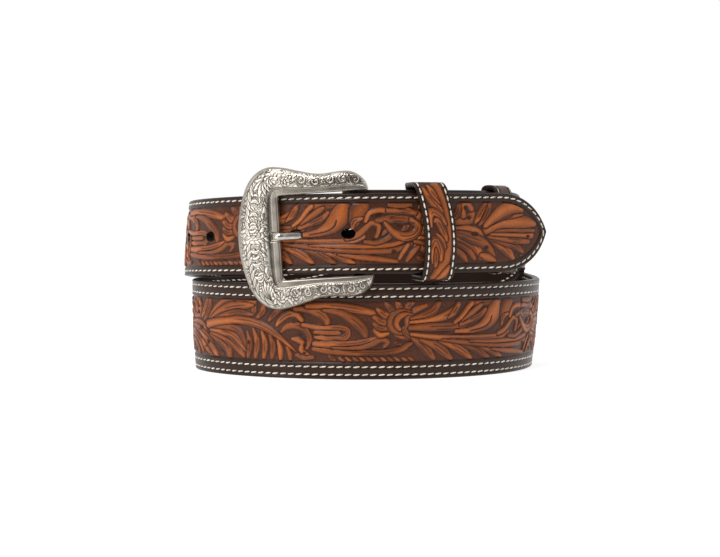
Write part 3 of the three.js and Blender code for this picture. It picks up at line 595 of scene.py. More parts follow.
def soften(ground):
    for key in ("height", "tone"):
        values = ground[key]
        for axis in (0, 1):
            values = (np.roll(values, 1, axis) + 2 * values + np.roll(values, -1, axis)) / 4
        ground[key] = values


def fill_pockets(ground, start, length):
    """Small blades where the ground between the shapes is still wide, leaning away from the middle"""
    room = int(1.5 * PX)
    for column in range(int(length / POCKET_PITCH)):
        for row in range(POCKET_ROWS):
            swing = math.sin(column * 1.9 + row * 2.7)
            along = start + (column + 0.5 + 0.3 * swing) * POCKET_PITCH
            across = -12.2 + row * 3.05 + 0.6 * math.cos(column * 2.3 + row)
            i = int((across + ground["half"]) * PX)
            j = int((along - ground["start"]) * PX)
            if j < room or j + room >= ground["height"].shape[1]:
                continue
            if ground["height"][i - room:i + room, j - room:j + room].max() > 0.5 * GROUND_DEPTH:
                continue
            lean = math.copysign(0.5 + 0.25 * swing, across)
            steps_out = ((-1.5, 0.45), (0.0, 0.85), (1.5, 0.6))
            rows = [(along + step, across + step * lean, half) for step, half in steps_out]
            carve(ground, rows, (0.2, 0.9), 0.6 + 0.1 * swing, -0.12)


def tooled_repeat():
    ground = new_ground(REPEAT_START - REPEAT_MARGIN, REPEAT + 2 * REPEAT_MARGIN, MAP_HALF)
    shapes = [(vein, rows, POD_IN_REPEAT) for vein, rows in POD + POD_CURL]
    shapes += [(vein, rows, 0.0) for vein, rows in all_shapes([FAN[:5], LOBES, FAN[5:], RIBBONS])]
    for k in range(int((FRINGE_TO - FRINGE_FROM) / FRINGE_PITCH)):
        s = FRINGE_FROM + k * FRINGE_PITCH
        shapes.append((None, [(s, -12.4, 0.4), (s + 1.2, -13.1, 0.7), (s + 2.4, -14, 0.6)], 0.0))
    shapes += [(vein, rows, 0.0) for vein, rows in all_shapes([FLOWER, SPRAY, BIG_LEAF])]
    pits = [(p, POD_IN_REPEAT) for p in POD_PITS]
    pits += [(p, 0.0) for p in LOBE_PITS + FLOWER_PITS + BIG_LEAF_PITS]
    for turn_shift in (-REPEAT, REPEAT, 0.0):
        for index, (vein, rows, shift) in enumerate(shapes):
            spread = math.sin(index * 2.4)
            widest = max(row[2] for row in rows)
            if vein is None and 1.1 < widest < 2:
                vein = (0.3, 0.92)
            carve(ground, rows, vein, 0.8 + 0.14 * spread, 0.05 * spread, 0.17 * math.cos(index * 1.7),
                  shift + turn_shift)
        fill_pockets(ground, REPEAT_START + turn_shift, REPEAT)
        for (along, across, long, wide), shift in pits:
            pit(ground, along, across, long, wide, shift + turn_shift)
        for rows in DECORATIVE_CUTS:
            knife(ground, rows, turn_shift)
    keep = int(REPEAT_MARGIN * PX)
    soften(ground)
    for key in ("height", "tone"):
        ground[key] = ground[key][:, keep:keep + int(REPEAT * PX)]
    ground["start"] = REPEAT_START
    return ground


def tooled_tip():
    ground = new_ground(TIP_MAP_START, TIP_MAP_LENGTH, MAP_HALF)
    for index, (vein, rows) in enumerate(POD + POD_CURL + TIP_FAN[::-1]):
        spread = math.sin(index * 2.4)
        carve(ground, rows, vein, 0.8 + 0.14 * spread, 0.05 * spread, 0.17 * math.cos(index * 1.7))
    fill_pockets(ground, 1000.0, 50.0)
    for along, across, long, wide in POD_PITS + TIP_PITS:
        pit(ground, along, across, long, wide)
    soften(ground)
    return ground


def read_map(values, row, column, wrap):
    """Bilinear reading of a map"""
    rows, columns = values.shape
    row = np.clip(row, 0, rows - 1.001)
    r0 = row.astype(int)
    c0 = np.floor(column).astype(int)
    fr = row - r0
    fc = column - c0
    if wrap:
        left = c0 % columns
        right = (c0 + 1) % columns
    else:
        left = np.clip(c0, 0, columns - 1)
        right = np.clip(c0 + 1, 0, columns - 1)
    top = values[r0, left] * (1 - fc) + values[r0, right] * fc
    low = values[r0 + 1, left] * (1 - fc) + values[r0 + 1, right] * fc
    return top * (1 - fr) + low * fr


repeat_map = tooled_repeat()
tip_map = tooled_tip()
TIP_PATTERN_FROM = 1004.0
FIELD_MARGIN_END = 4.4
STITCH_FROM_EDGE = 2.15
INNER_STITCH = 16.85
SHIFT_FROM = 640
SHIFT_OVER = 70
PLAIN_UNTIL = 84
BAND_DYE = 0.82

tip_s = TIP - POINT_LENGTH * (1 - np.sin(np.linspace(0, 1, 90) * math.pi / 2))
tip_outline = np.stack([tip_s, strap_half(tip_s)], -1)


def edge_distance(along, across):
    """How far a point of the face lies from the edge of the leather"""
    plain = strap_half(np.minimum(along, TIP - POINT_LENGTH)) - np.abs(across)
    near = along > TIP - POINT_LENGTH - 8
    if near.any():
        gap_s = along[near][:, None] - tip_outline[None, :, 0]
        gap_v = np.abs(across[near])[:, None] - tip_outline[None, :, 1]
        nearest = np.hypot(gap_s, gap_v).min(1)
        plain = plain.copy()
        plain[near] = np.minimum(plain[near], nearest)
    return plain


def tooled_face(along, across):
    """Height, tone and edge dye of the tooled face at points of the strap"""
    from_edge = edge_distance(along, across)
    margin = np.maximum(on_route(route_half, along) - FIELD, FIELD_MARGIN_END)
    s = along - PATTERN_SHIFT + UPPER_SHIFT * smooth((along - SHIFT_FROM) / SHIFT_OVER)
    row = (across + MAP_HALF) * PX
    height = read_map(repeat_map["height"], row, (s - REPEAT_START) % REPEAT * PX, True)
    tone = read_map(repeat_map["tone"], row, (s - REPEAT_START) % REPEAT * PX, True)
    in_tip = s > TIP_PATTERN_FROM
    height = np.where(in_tip, read_map(tip_map["height"], row, (s - TIP_MAP_START) * PX, False), height)
    tone = np.where(in_tip, read_map(tip_map["tone"], row, (s - TIP_MAP_START) * PX, False), tone)
    # the plain band outside the field: a cut and a bevelled shoulder, then grooves for the stitches
    band = smooth((margin + 0.15 - from_edge) / 0.5)
    shoulder = np.exp(-((from_edge - margin + 1.1) / 0.5) ** 2)
    band_height = -0.12 + 0.1 * shoulder
    # The shoulder is also painted lighter in tone: a painted highlight along its ridge.
    band_tone = 0.2 + 0.1 * shoulder
    cut = np.exp(-((from_edge - margin - 0.1) / 0.38) ** 2)
    rows = [np.abs(from_edge - STITCH_FROM_EDGE)]
    rows.append(np.where(margin > 6, np.abs(np.abs(across) - INNER_STITCH), 9))
    for away in rows:
        groove = np.exp(-(away / 0.62) ** 2)
        band_height = band_height - 0.22 * groove
        band_tone = band_tone - 0.06 * groove
    crease = np.exp(-((from_edge - 1.1) / 0.3) ** 2)
    band_height = band_height - 0.1 * crease
    height = height * (1 - band) + band_height * band
    tone = tone * (1 - band) + band_tone * band
    height = height * (1 - cut) - 0.75 * cut
    tone = tone * (1 - 0.9 * cut)
    dye = 1 - smooth((from_edge - 0.4) / 1.6)
    dye = np.maximum(dye, BAND_DYE * band)
    # under the tip the strap is left plain and dark
    plain_length = 1 - smooth((along - PLAIN_UNTIL) / 4)
    height = height * (1 - plain_length)
    return height, tone, np.maximum(dye, plain_length)


SHARP_FROM = math.radians(62)


def with_ends(points):
    """Adds the middle of the first and of the last section, so that a run of sections is closed"""
    first, last = (np.broadcast_to(row.mean(0), row.shape)[None] for row in (points[0], points[-1]))
    return np.vstack([first, points, last])


def with_end_values(values):
    return np.vstack([values[:1], values, values[-1:]])


def new_object(name, data):
    made = bpy.data.objects.new(name, data)
    bpy.context.scene.collection.objects.link(made)
    return made


def grid_body(name, points, attributes):
    """A grid of points, rows by columns, whose meeting edges are welded into one closed body"""
    rows = points.shape[0] - 1
    columns = points.shape[1] - 1
    bm = bmesh.new()
    bmesh.ops.create_grid(bm, x_segments=columns, y_segments=rows, size=0.5)
    mesh = bpy.data.meshes.new(name)
    bm.to_mesh(mesh)
    bm.free()
    flat = np.empty(len(mesh.vertices) * 3, np.float32)
    mesh.vertices.foreach_get("co", flat)
    flat = flat.reshape(-1, 3)
    column = np.rint((flat[:, 0] + 0.5) * columns).astype(int)
    row = np.rint((flat[:, 1] + 0.5) * rows).astype(int)
    mesh.vertices.foreach_set("co", points[row, column].astype(np.float32).ravel())
    for key, values in attributes.items():
        attribute = mesh.attributes.new(key, "FLOAT", "POINT")
        attribute.data.foreach_set("value", values[row, column].astype(np.float32).ravel())
    bm = bmesh.new()
    bm.from_mesh(mesh)
    bmesh.ops.remove_doubles(bm, verts=bm.verts, dist=1e-7)
    bmesh.ops.dissolve_degenerate(bm, edges=bm.edges, dist=1e-8)
    bmesh.ops.recalc_face_normals(bm, faces=bm.faces)
    for face in bm.faces:
        face.smooth = True
    bm.to_mesh(mesh)
    bm.free()
    mesh.set_sharp_from_angle(angle=SHARP_FROM)
    return new_object(name, mesh)


def srgb(red, green, blue):
    linear = [((c / 255 + 0.055) / 1.055) ** 2.4 if c > 10 else c / 255 / 12.92 for c in (red, green, blue)]
    return (*linear, 1.0)


def add_node(tree, kind, inputs=None, **settings):
    node = tree.nodes.new(kind)
    for key, value in settings.items():
        setattr(node, key, value)
    for key, value in (inputs or {}).items():
        if isinstance(value, bpy.types.NodeSocket):
            tree.links.new(value, node.inputs[key])
        else:
            node.inputs[key].default_value = value
    return node


def set_ramp(node, stops):
    ramp = node.color_ramp
    while len(ramp.elements) < len(stops):
        ramp.elements.new(0.5)
    for element, (position, colour) in zip(ramp.elements, stops):
        element.position = position
        element.color = colour


# The finish of the leather: tan that shows on what stands up, dark antique paste in the cuts and on the ground, an
# espresso dye on the band and nearly black burnished edges. The tone it reads also holds painted shade and painted
# light: shading across the carved shapes, painted shade of the bevels beside them and a painted highlight on the
# band's shoulder.
def leather_group():
    group = bpy.data.node_groups.new("LeatherFinish", "ShaderNodeTree")
    for label in ("Tone", "Dye"):
        group.interface.new_socket(label, in_out="INPUT", socket_type="NodeSocketFloat")
    group.interface.new_socket("Color", in_out="OUTPUT", socket_type="NodeSocketColor")
    group.interface.new_socket("Roughness", in_out="OUTPUT", socket_type="NodeSocketFloat")
    group.interface.new_socket("Height", in_out="OUTPUT", socket_type="NodeSocketFloat")
    entry = add_node(group, "NodeGroupInput")
    exit_node = add_node(group, "NodeGroupOutput")
    place = add_node(group, "ShaderNodeTexCoord").outputs["Object"]
    patches = add_node(group, "ShaderNodeTexNoise", {"Vector": place, "Scale": 110.0, "Detail": 3.0,
                                                     "Roughness": 0.6})
    grain = add_node(group, "ShaderNodeTexNoise", {"Vector": place, "Scale": 1500.0, "Detail": 2.0,
                                                   "Roughness": 0.6})
    pores = add_node(group, "ShaderNodeTexVoronoi", {"Vector": place, "Scale": 1900.0})
    sway = add_node(group, "ShaderNodeMath", {0: patches.outputs["Fac"], 1: 0.5}, operation="SUBTRACT")
    swayed = add_node(group, "ShaderNodeMath", {0: sway.outputs[0], 1: 0.35, 2: entry.outputs["Tone"]},
                      operation="MULTIPLY_ADD")
    ramp = add_node(group, "ShaderNodeValToRGB", {"Fac": swayed.outputs[0]})
    set_ramp(ramp, [
        (0.0, srgb(38, 16, 7)),
        (0.25, srgb(78, 40, 20)),
        (0.5, srgb(110, 56, 25)),
        (0.8, srgb(150, 80, 36)),
        (1.0, srgb(180, 102, 50)),
    ])
    speck = add_node(group, "ShaderNodeMapRange",
                     {"Value": grain.outputs["Fac"], "From Min": 0.3, "From Max": 0.7, "To Min": 0.82,
                      "To Max": 1.14})
    specked = add_node(group, "ShaderNodeMix", {"Factor": 1.0, "A": ramp.outputs["Color"],
                                                "B": speck.outputs[0]},
                       data_type="RGBA", blend_type="MULTIPLY")
    dyed = add_node(group, "ShaderNodeMix",
                    {"Factor": entry.outputs["Dye"], "A": specked.outputs[2], "B": srgb(36, 23,
                                                                                        15)}, data_type="RGBA")
    rough = add_node(group, "ShaderNodeMapRange",
                     {"Value": patches.outputs["Fac"], "From Min": 0.3, "From Max": 0.7, "To Min": 0.34,
                      "To Max": 0.46})
    relief = add_node(group, "ShaderNodeMath", {0: pores.outputs["Distance"], 1: 0.5,
                                                2: grain.outputs["Fac"]},
                      operation="MULTIPLY_ADD")
    group.links.new(dyed.outputs[2], exit_node.inputs["Color"])
    group.links.new(rough.outputs[0], exit_node.inputs["Roughness"])
    group.links.new(relief.outputs[0], exit_node.inputs["Height"])
    return group


def new_material(name):
    material = bpy.data.materials.new(name)
    material.use_nodes = True
    tree = material.node_tree
    return material, tree, tree.nodes["Principled BSDF"]


def attribute_value(tree, name):
    return add_node(tree, "ShaderNodeAttribute", attribute_name=name).outputs["Fac"]


leather_finish = leather_group()
tooled_leather, tree, shader = new_material("tooled_leather")
finish = add_node(tree, "ShaderNodeGroup", node_tree=leather_finish)
tree.links.new(attribute_value(tree, "tone"), finish.inputs["Tone"])
tree.links.new(attribute_value(tree, "dye"), finish.inputs["Dye"])
bump = add_node(tree, "ShaderNodeBump", {"Height": finish.outputs["Height"], "Strength": 0.35,
                                         "Distance": 0.00006})
tree.links.new(finish.outputs["Color"], shader.inputs["Base Color"])
tree.links.new(finish.outputs["Roughness"], shader.inputs["Roughness"])
tree.links.new(bump.outputs["Normal"], shader.inputs["Normal"])
shader.inputs["Specular IOR Level"].default_value = 0.14
shader.inputs["Coat Weight"].default_value = 0.22
shader.inputs["Coat Roughness"].default_value = 0.28

# The strap's own body, in five lengths that meet where the buckle, a keeper or the turns hide it.
CORNER = 0.9
edge_turns = np.radians([67, 45, 22, 0])
EDGE_INSET = np.concatenate([CORNER - CORNER * np.cos(edge_turns), [0, 0.15, 0.5]])
EDGE_DEEP = np.concatenate([0.6 + CORNER * np.sin(edge_turns), [-1.5, -1.85, -2.0]])


def strap_length(name, alongs, face_columns, back_columns=14):
    """A closed length of the strap, with its tooled face, rounded edges and flat lining"""
    half = strap_half(alongs)[:, None]
    thick = (TAB_LEATHER + (LEATHER - TAB_LEATHER) * smooth(alongs / FOLD_BLEND))[:, None]
    inset = np.minimum(CORNER, 0.45 * half)
    across_share = np.linspace(-1, 1, face_columns + 1)[None, :]
    face_across = across_share * (half - inset)
    along_grid = np.broadcast_to(alongs[:, None], face_across.shape)
    height, tone, dye = tooled_face(along_grid.ravel(), face_across.ravel())
    height = height.reshape(face_across.shape)
    fade = smooth((half - np.abs(face_across) - 0.9) / 0.5)
    deep = thick / 2 - FACE_CROWN * (face_across / half) ** 2 + height * fade
    edge_scale = inset / CORNER
    top_across = half - EDGE_INSET[None, :] * edge_scale
    top_deep = EDGE_DEEP[None, :] * thick / LEATHER
    back_share = np.linspace(1, -1, back_columns + 1)[None, 1:-1]
    back_across = back_share * (half - 0.5 * edge_scale)
    back_deep = 0 * back_across - thick / 2
    across = np.hstack([face_across, top_across, back_across, -top_across[:, ::-1], face_across[:, :1]])
    deeps = np.hstack([deep, top_deep, back_deep, top_deep[:, ::-1], deep[:, :1]])
    along_grid = np.broadcast_to(alongs[:, None], across.shape)
    points = with_ends(placed(strap_point(along_grid, across, deeps)))
    plain = np.ones((len(alongs), across.shape[1] - face_columns - 2))
    tones = np.hstack([tone.reshape(face_across.shape), 0.1 * plain, tone.reshape(face_across.shape)[:,
                                                                                                     :1]])
    dyes = np.hstack([dye.reshape(face_across.shape), plain, dye.reshape(face_across.shape)[:, :1]])
    piece = grid_body(name, points, {"tone": with_end_values(tones), "dye": with_end_values(dyes)})
    piece.data.materials.append(tooled_leather)
    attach(piece, "root")
    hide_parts("belt_strap")
    return piece


def steps(start, end, pitch):
    return np.linspace(start, end, max(2, int((end - start) / pitch) + 1))


LOWER_FROM = along_at(262)
LOWER_TO = along_at(446)
UPPER_FROM = 838.0
strap_start = strap_length("strap_under", steps(0.0, LOWER_FROM, 0.6), 76)
strap_length("strap_lower_front", steps(LOWER_FROM, LOWER_TO, 0.41), 114)
strap_length("strap_back", steps(LOWER_TO, UPPER_FROM, 0.6), 76)
tip_steps = TIP - 8 * (1 - np.sin(np.linspace(0, 1, 36) * math.pi / 2))
upper_steps = np.concatenate([steps(UPPER_FROM, TIP - 8, 0.39)[:-1], tip_steps])
strap_upper = strap_length("strap_upper_front", upper_steps, 100)

# The end of the strap that is turned back round the heel bar, thinned so that it folds, with a slot
# through which the tongue comes out.
TAB_LENGTH = 60.0
tab_along = np.linspace(TAB_LENGTH, 0.0, 76)
tab_x, tab_y, tab_out, tab_up, tab_travel = strap_axes(tab_along)
tab_close = LEATHER / 2 + CONTACT + TAB_LEATHER / 2
tab_inwards = 2 * FOLD_RADIUS + (tab_close - 2 * FOLD_RADIUS) * smooth(tab_along / FOLD_BLEND)
tab_plan = np.stack([tab_x, tab_y], -1) - tab_out[:, :2] * tab_inwards[:, None]
fold_angles = np.linspace(0, math.pi, 26)[1:]
start_x, start_y, start_out, start_up, start_travel = strap_axes(np.array([0.0]))
fold_plan = bar_centre - start_travel[:, :2] * FOLD_RADIUS * np.sin(fold_angles)[:, None] \
    - start_out[:, :2] * FOLD_RADIUS * np.cos(fold_angles)[:, None]
turned_plan = np.vstack([tab_plan, fold_plan])
turned_from_bar = np.concatenate([tab_along, np.zeros(len(fold_angles))])
turned_step = np.gradient(turned_plan, axis=0)
turned_step /= np.linalg.norm(turned_step, axis=1, keepdims=True)
turned_out = np.stack([turned_step[:, 1], -turned_step[:, 0], 0 * turned_step[:, 0]], -1)
turned_half = END_WIDTH / 2 - 1.5 * smooth((turned_from_bar - TAB_LENGTH + 4) / 4)
turned_across = np.linspace(-1, 1, 41)[None, :] * (turned_half[:, None] - 0.45)
edge_ring = np.radians([60, 30, 0, -30, -60])
rim_across = turned_half[:, None] - 0.6 + 0.6 * np.cos(edge_ring)[None, :]
rim_deep = np.broadcast_to((TAB_LEATHER / 2 * np.sin(edge_ring))[None, :], rim_across.shape)
turned_v = np.hstack([turned_across, rim_across, turned_across[:, ::-1], -rim_across, turned_across[:, :1]])
face_deep = np.full(turned_across.shape, TAB_LEATHER / 2)
turned_d = np.hstack([face_deep, rim_deep, -face_deep, -rim_deep, face_deep[:, :1]])
turned_middle = on_route(route_bottom, turned_from_bar) + END_WIDTH / 2
turned_points = np.stack([turned_plan[:, 0], turned_plan[:, 1], turned_middle], -1)[:, None, :] \
    + turned_v[..., None] * np.array([0, 0, 1.0]) + turned_d[..., None] * turned_out[:, None, :]
held = 1 - smooth(turned_from_bar / (2 * FOLD_BLEND))
turned_points = with_ends(placed(turned_points + shift_to_bar(turned_points) * held[:, None, None]))
turned_end = grid_body("strap_turned_end", turned_points, {
    "tone": np.full(turned_points.shape[:2], 0.2),
    "dye": np.full(turned_points.shape[:2], 0.8),
})
turned_end.data.materials.append(tooled_leather)
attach(turned_end, "root")
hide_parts("belt_strap")


# The walls of the punched holes and of the slot are near-black and matt: painted shade inside the holes, over a grain
# of fibres.
hole_wall, tree, shader = new_material("punched_leather_painted_shade")
place = add_node(tree, "ShaderNodeTexCoord").outputs["Object"]
fibres = add_node(tree, "ShaderNodeTexNoise", {"Vector": place, "Scale": 1400.0, "Detail": 2.0})
fibre_and_painted_shade_colour = add_node(tree, "ShaderNodeValToRGB", {"Fac": fibres.outputs["Fac"]})
set_ramp(fibre_and_painted_shade_colour, [(0.3, srgb(14, 9, 7)), (0.7, srgb(34, 22, 16))])
tree.links.new(fibre_and_painted_shade_colour.outputs["Color"], shader.inputs["Base Color"])
shader.inputs["Roughness"].default_value = 0.9
shader.inputs["Specular IOR Level"].default_value = 0.15


def cut_out(piece, cutter_bm):
    """Cuts a closed shape out of a piece"""
    piece.data.materials.append(hole_wall)
    mesh = bpy.data.meshes.new("cutter")
    for face in cutter_bm.faces:
        face.material_index = 1
    cutter_bm.to_mesh(mesh)
    cutter_bm.free()
    mesh.materials.append(tooled_leather)
    mesh.materials.append(hole_wall)
    cutter = new_object("cutter", mesh)
    modifier = piece.modifiers.new("cut", "BOOLEAN")
    modifier.operation = "DIFFERENCE"
    modifier.solver = "MANIFOLD"
    modifier.object = cutter
    graph = bpy.context.evaluated_depsgraph_get()
    made = bpy.data.meshes.new_from_object(piece.evaluated_get(graph))
    piece.modifiers.clear()
    old = piece.data
    piece.data = made
    bpy.data.meshes.remove(old)
    bpy.data.objects.remove(cutter)
    bpy.data.meshes.remove(mesh)


def across_leather(along, across=0.0):
    """A matrix at a place on the strap: x along, y across, z out of the face, in metres"""
    s = np.array([along])
    x, y, out, up, travel = strap_axes(s)
    side = up[0] - travel[0] * float(up[0] @ travel[0])
    side /= np.linalg.norm(side)
    centre = placed(strap_point(s, np.array([across]), np.array([0.0])))[0]
    face = np.cross(travel[0], side)
    return Matrix([[travel[0][i], side[i], face[i], centre[i]] for i in range(3)] + [[0, 0, 0, 1]])


# The holes, five ovals punched an inch apart
HOLE_LONG = 7.0
HOLE_WIDE = 5.0
holes = bmesh.new()
for k in range(HOLE_COUNT):
    size = Matrix.Diagonal((HOLE_LONG / 2 * MM, HOLE_WIDE / 2 * MM, 4 * MM, 1))
    bmesh.ops.create_cone(holes, cap_ends=True, segments=40, radius1=1, radius2=1, depth=2,
                          matrix=across_leather(FIRST_HOLE - k * HOLE_PITCH) @ size)
cut_out(strap_upper, holes)
slot_cut = bmesh.new()
slot_size = Matrix.Diagonal((5.6 * MM, 2.1 * MM, 8 * MM, 1))
bmesh.ops.create_cone(slot_cut, cap_ends=True, segments=32, radius1=1, radius2=1, depth=2,
                      matrix=across_leather(0.0, -1.4) @ Matrix.Translation((0, 0, -2 * MM)) @ slot_size)
cut_out(turned_end, slot_cut.copy())
cut_out(strap_start, slot_cut)

# The stitching: waxed cream thread, in two rows along each edge of the body and one along the ends.
# Each stitch is a bead that dips into the leather at both ends, a little slanted against its row.
STITCH_PITCH = 4.0
STITCH_LONG = 3.3
STITCH_WIDE = 0.82
STITCH_DEEP = 0.8
STITCH_SLANT = math.radians(8)


def stitch_place(along, across, slope, side):
    """Matrix of one stitch; side is 1 on the tooled face and -1 on the lining"""
    half = float(strap_half(np.array([along]))[0])
    face = LEATHER / 2 - FACE_CROWN * (across / half) ** 2 - 0.3 if side > 0 else LEATHER / 2 - 0.1
    turn = Matrix.Rotation(slope + STITCH_SLANT, 4, "Z")
    size = Matrix.Diagonal((STITCH_LONG / 2 * MM, STITCH_WIDE / 2 * MM, STITCH_DEEP / 2 * MM, 1))
    return across_leather(along, across) @ Matrix.Translation((0, 0, side * face * MM)) @ turn @ size


def sewn(name, places):
    """One bead of thread at each place"""
    bead = bmesh.new()
    bmesh.ops.create_uvsphere(bead, u_segments=8, v_segments=5, radius=1,
                              matrix=Matrix.Rotation(math.pi / 2, 4, "Y"))
    points = np.array([vert.co for vert in bead.verts])
    faces = [[vert.index for vert in face.verts] for face in bead.faces]
    bead.free()
    frames = np.array(places)
    corners = np.einsum("nij,pj->npi", frames[:, :3, :3], points) + frames[:, None, :3, 3]
    repeated = [[index + k * len(points) for index in face] for k in range(len(places)) for face in faces]
    mesh = bpy.data.meshes.new(name)
    mesh.from_pydata(corners.reshape(-1, 3).tolist(), [], repeated)
    mesh.polygons.foreach_set("use_smooth", np.ones(len(mesh.polygons), bool))
    mesh.materials.append(thread)
    piece = new_object(name, mesh)
    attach(piece, "root")


def stitch_rows():
    """Places of the stitches: along, across and slope"""
    near_tip = np.linspace(TIP - POINT_LENGTH - 4, TIP - 0.02, 400)
    outline = np.stack([near_tip, strap_half(near_tip)], -1)
    step = np.gradient(outline, axis=0)
    step /= np.linalg.norm(step, axis=1, keepdims=True)
    inset = outline + STITCH_FROM_EDGE * np.stack([step[:, 1], -step[:, 0]], -1)
    inset = inset[inset[:, 1] > 0]
    body = steps(18.0, inset[0, 0] - 1, 2.0)
    upper_edge = np.vstack([np.stack([body, np.full(len(body), INNER_STITCH)], -1), inset])
    path = np.vstack([upper_edge * [1, -1], upper_edge[::-1]])
    length = run_along(path)
    marks = np.arange(STITCH_PITCH / 2, length[-1], STITCH_PITCH)
    s = np.interp(marks, length, path[:, 0])
    v = np.interp(marks, length, path[:, 1])
    ds = np.interp(marks + 1, length, path[:, 0]) - np.interp(marks - 1, length, path[:, 0])
    dv = np.interp(marks + 1, length, path[:, 1]) - np.interp(marks - 1, length, path[:, 1])
    slope = np.arctan(dv / np.where(np.abs(ds) < 1e-6, 1e-6, ds))
    rows = list(zip(s, v, slope))
    for s in np.arange(60.0, 900.0, STITCH_PITCH):
        half = float(on_route(route_half, s))
        if half - 2.3 > INNER_STITCH + 1.4:
            rows.append((s, half - 2.3, 0.0))
            rows.append((s, 2.3 - half, 0.0))
    return rows


def mesh_piece(name, bm, material, node):
    for face in bm.faces:
        face.smooth = True
    mesh = bpy.data.meshes.new(name)
    bm.to_mesh(mesh)
    bm.free()
    mesh.materials.append(material)
    piece = new_object(name, mesh)
    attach(piece, "root")
    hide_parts(node)
    return piece


thread, tree, shader = new_material("waxed_thread")
place = add_node(tree, "ShaderNodeTexCoord").outputs["Object"]
twist = add_node(tree, "ShaderNodeTexNoise", {"Vector": place, "Scale": 900.0, "Detail": 1.0})
thread_colour = add_node(tree, "ShaderNodeValToRGB", {"Fac": twist.outputs["Fac"]})
set_ramp(thread_colour, [(0.3, srgb(178, 164, 146)), (0.6, srgb(238, 229, 214))])
tree.links.new(thread_colour.outputs["Color"], shader.inputs["Base Color"])
shader.inputs["Roughness"].default_value = 0.55
stitched = stitch_rows()
sewn("stitches", [stitch_place(s, v, slope, 1) for s, v, slope in stitched])
sewn("stitches_lining", [stitch_place(s, v, slope, -1) for s, v, slope in stitched if s > 70])

# The frame of the buckle: a cast alloy C with a plain inner band, a rope line and a chased scroll
# ground, silver plated, then blackened and polished so that the black stays in the cuts.
FRAME_HALF_HEIGHT = 34.3
OPENING_HALF_HEIGHT = 20.1
FRAME_THICKNESS = 4.2
BAND_WIDTH = 3.5
FRAME_ROWS = [
    # inner x, inner y, outer x and outer y of half the outline, from the middle of the bow
    (0, 0, -BOW_WIDTH, 0),
    (0, 0.38, -0.972 * BOW_WIDTH, 0.255),
    (0, 0.74, -0.87 * BOW_WIDTH, 0.53),
    (0, 0.93, -0.71 * BOW_WIDTH, 0.765),
    (0.008, 0.98, -0.48 * BOW_WIDTH, 0.92),
    (0.024, 1, -0.19 * BOW_WIDTH, 0.99),
    (0.09, 1, 0.07 * ARM_LENGTH, 0.972),
    (0.23, 1, 0.235 * ARM_LENGTH, 0.918),
    (0.4, 1, 0.4 * ARM_LENGTH, 0.865),
    (0.53, 1, 0.525 * ARM_LENGTH, 0.85),
    (0.68, 1, 0.69 * ARM_LENGTH, 0.866),
    (0.8, 1, 0.81 * ARM_LENGTH, 0.862),
    (0.9, 1, 0.9 * ARM_LENGTH, 0.81),
    (0.965, 1, 0.968 * ARM_LENGTH, 0.722),
    (0.995, 1, ARM_LENGTH, 0.622),
]
half_rows = np.array(FRAME_ROWS, float) * [ARM_LENGTH, OPENING_HALF_HEIGHT, 1, FRAME_HALF_HEIGHT]
lower_rows = half_rows[:0:-1] * [1, -1, 1, -1]
frame_rows = np.vstack([lower_rows, half_rows])


def through_frame_rows(share):
    """A Catmull-Rom curve through the rows of the outline"""
    p = np.vstack([2 * frame_rows[0] - frame_rows[1], frame_rows, 2 * frame_rows[-1] - frame_rows[-2]])
    t = np.clip(share, 0, 1) * (len(frame_rows) - 1)
    k = np.minimum(t.astype(int), len(frame_rows) - 2)
    u = (t - k)[:, None]
    a, b, c, d = p[k], p[k + 1], p[k + 2], p[k + 3]
    return 0.5 * (2 * b + (c - a) * u + (2 * a - 5 * b + 4 * c - d) * u ** 2 + (3 * b - a - 3 * c + d) * u ** 3)


fine_share = np.linspace(0, 1, 4001)
fine_line = through_frame_rows(fine_share)
fine_middle = (0.4 * fine_line[:, :2] + 0.6 * fine_line[:, 2:])
frame_run = run_along(fine_middle)
FRAME_RUN = frame_run[-1]
FRAME_STEPS = 780
frame_at = np.linspace(0, FRAME_RUN, FRAME_STEPS + 1)
frame_line = through_frame_rows(np.interp(frame_at, frame_run, fine_share))
frame_width = np.linalg.norm(frame_line[:, 2:] - frame_line[:, :2], axis=1)

# profile of the frame, from the opening's edge to the outside: share across and height share
PROFILE = np.array([
    (0, 0.62), (0.02, 0.71), (0.06, 0.78), (0.24, 0.8), (0.27, 0.83), (0.3, 0.92), (0.37, 0.981), (0.45,
                                                                                                   0.997),
    (0.53, 0.999), (0.61, 0.987), (0.69, 0.96), (0.77, 0.92), (0.85, 0.84), (0.93, 0.68), (0.975,
                                                                                           0.54), (1, 0.4),
])
ENGRAVED_FROM = 0.3
ENGRAVED_TO = 0.93
ENGRAVED_CUT = 0.56


def chase(ground, rows, vein=None, tone=0.95, lift=0.0, tilt=0.0):
    """One engraved shape: a low relief with a fine black line round it"""
    carve(ground, rows, vein, tone, lift, tilt, 0.0, 0.0, ENGRAVED_CUT)


def small_leaf(ground, along, across, heading, long, wide, bend, vein):
    rows = []
    for share, width in ((0, 0.35), (0.35, 1.0), (0.7, 0.85), (1, 0.25)):
        angle = heading + bend * share
        rows.append((along + long * share * math.cos(angle), across + long * share * math.sin(angle),
                     wide * width))
    chase(ground, rows, vein, 0.96, 0.0, 0.12)


def scroll(ground, along, across, radius, turn, spin):
    """A chased scroll: a ribbon that winds inwards, with leaves springing off its back"""
    for leaf in range(9):
        angle = turn + spin * (0.2 + leaf * 0.56)
        reach = radius * 0.8
        small_leaf(ground, along + reach * math.cos(angle), across + reach * math.sin(angle),
                   angle + spin * 0.7,
                   radius * (0.85 + 0.2 * math.sin(leaf * 2.1)), radius * 0.24, spin * 0.5, (0.0, 0.8))
    rows = []
    for share in np.linspace(0, 1, 14):
        angle = turn + spin * share * 6.6
        reach = radius * (1 - 0.82 * share)
        rows.append((along + reach * math.cos(angle), across + reach * math.sin(angle),
                     radius * (0.2 - 0.08 * share)))
    chase(ground, rows, None, 0.84)


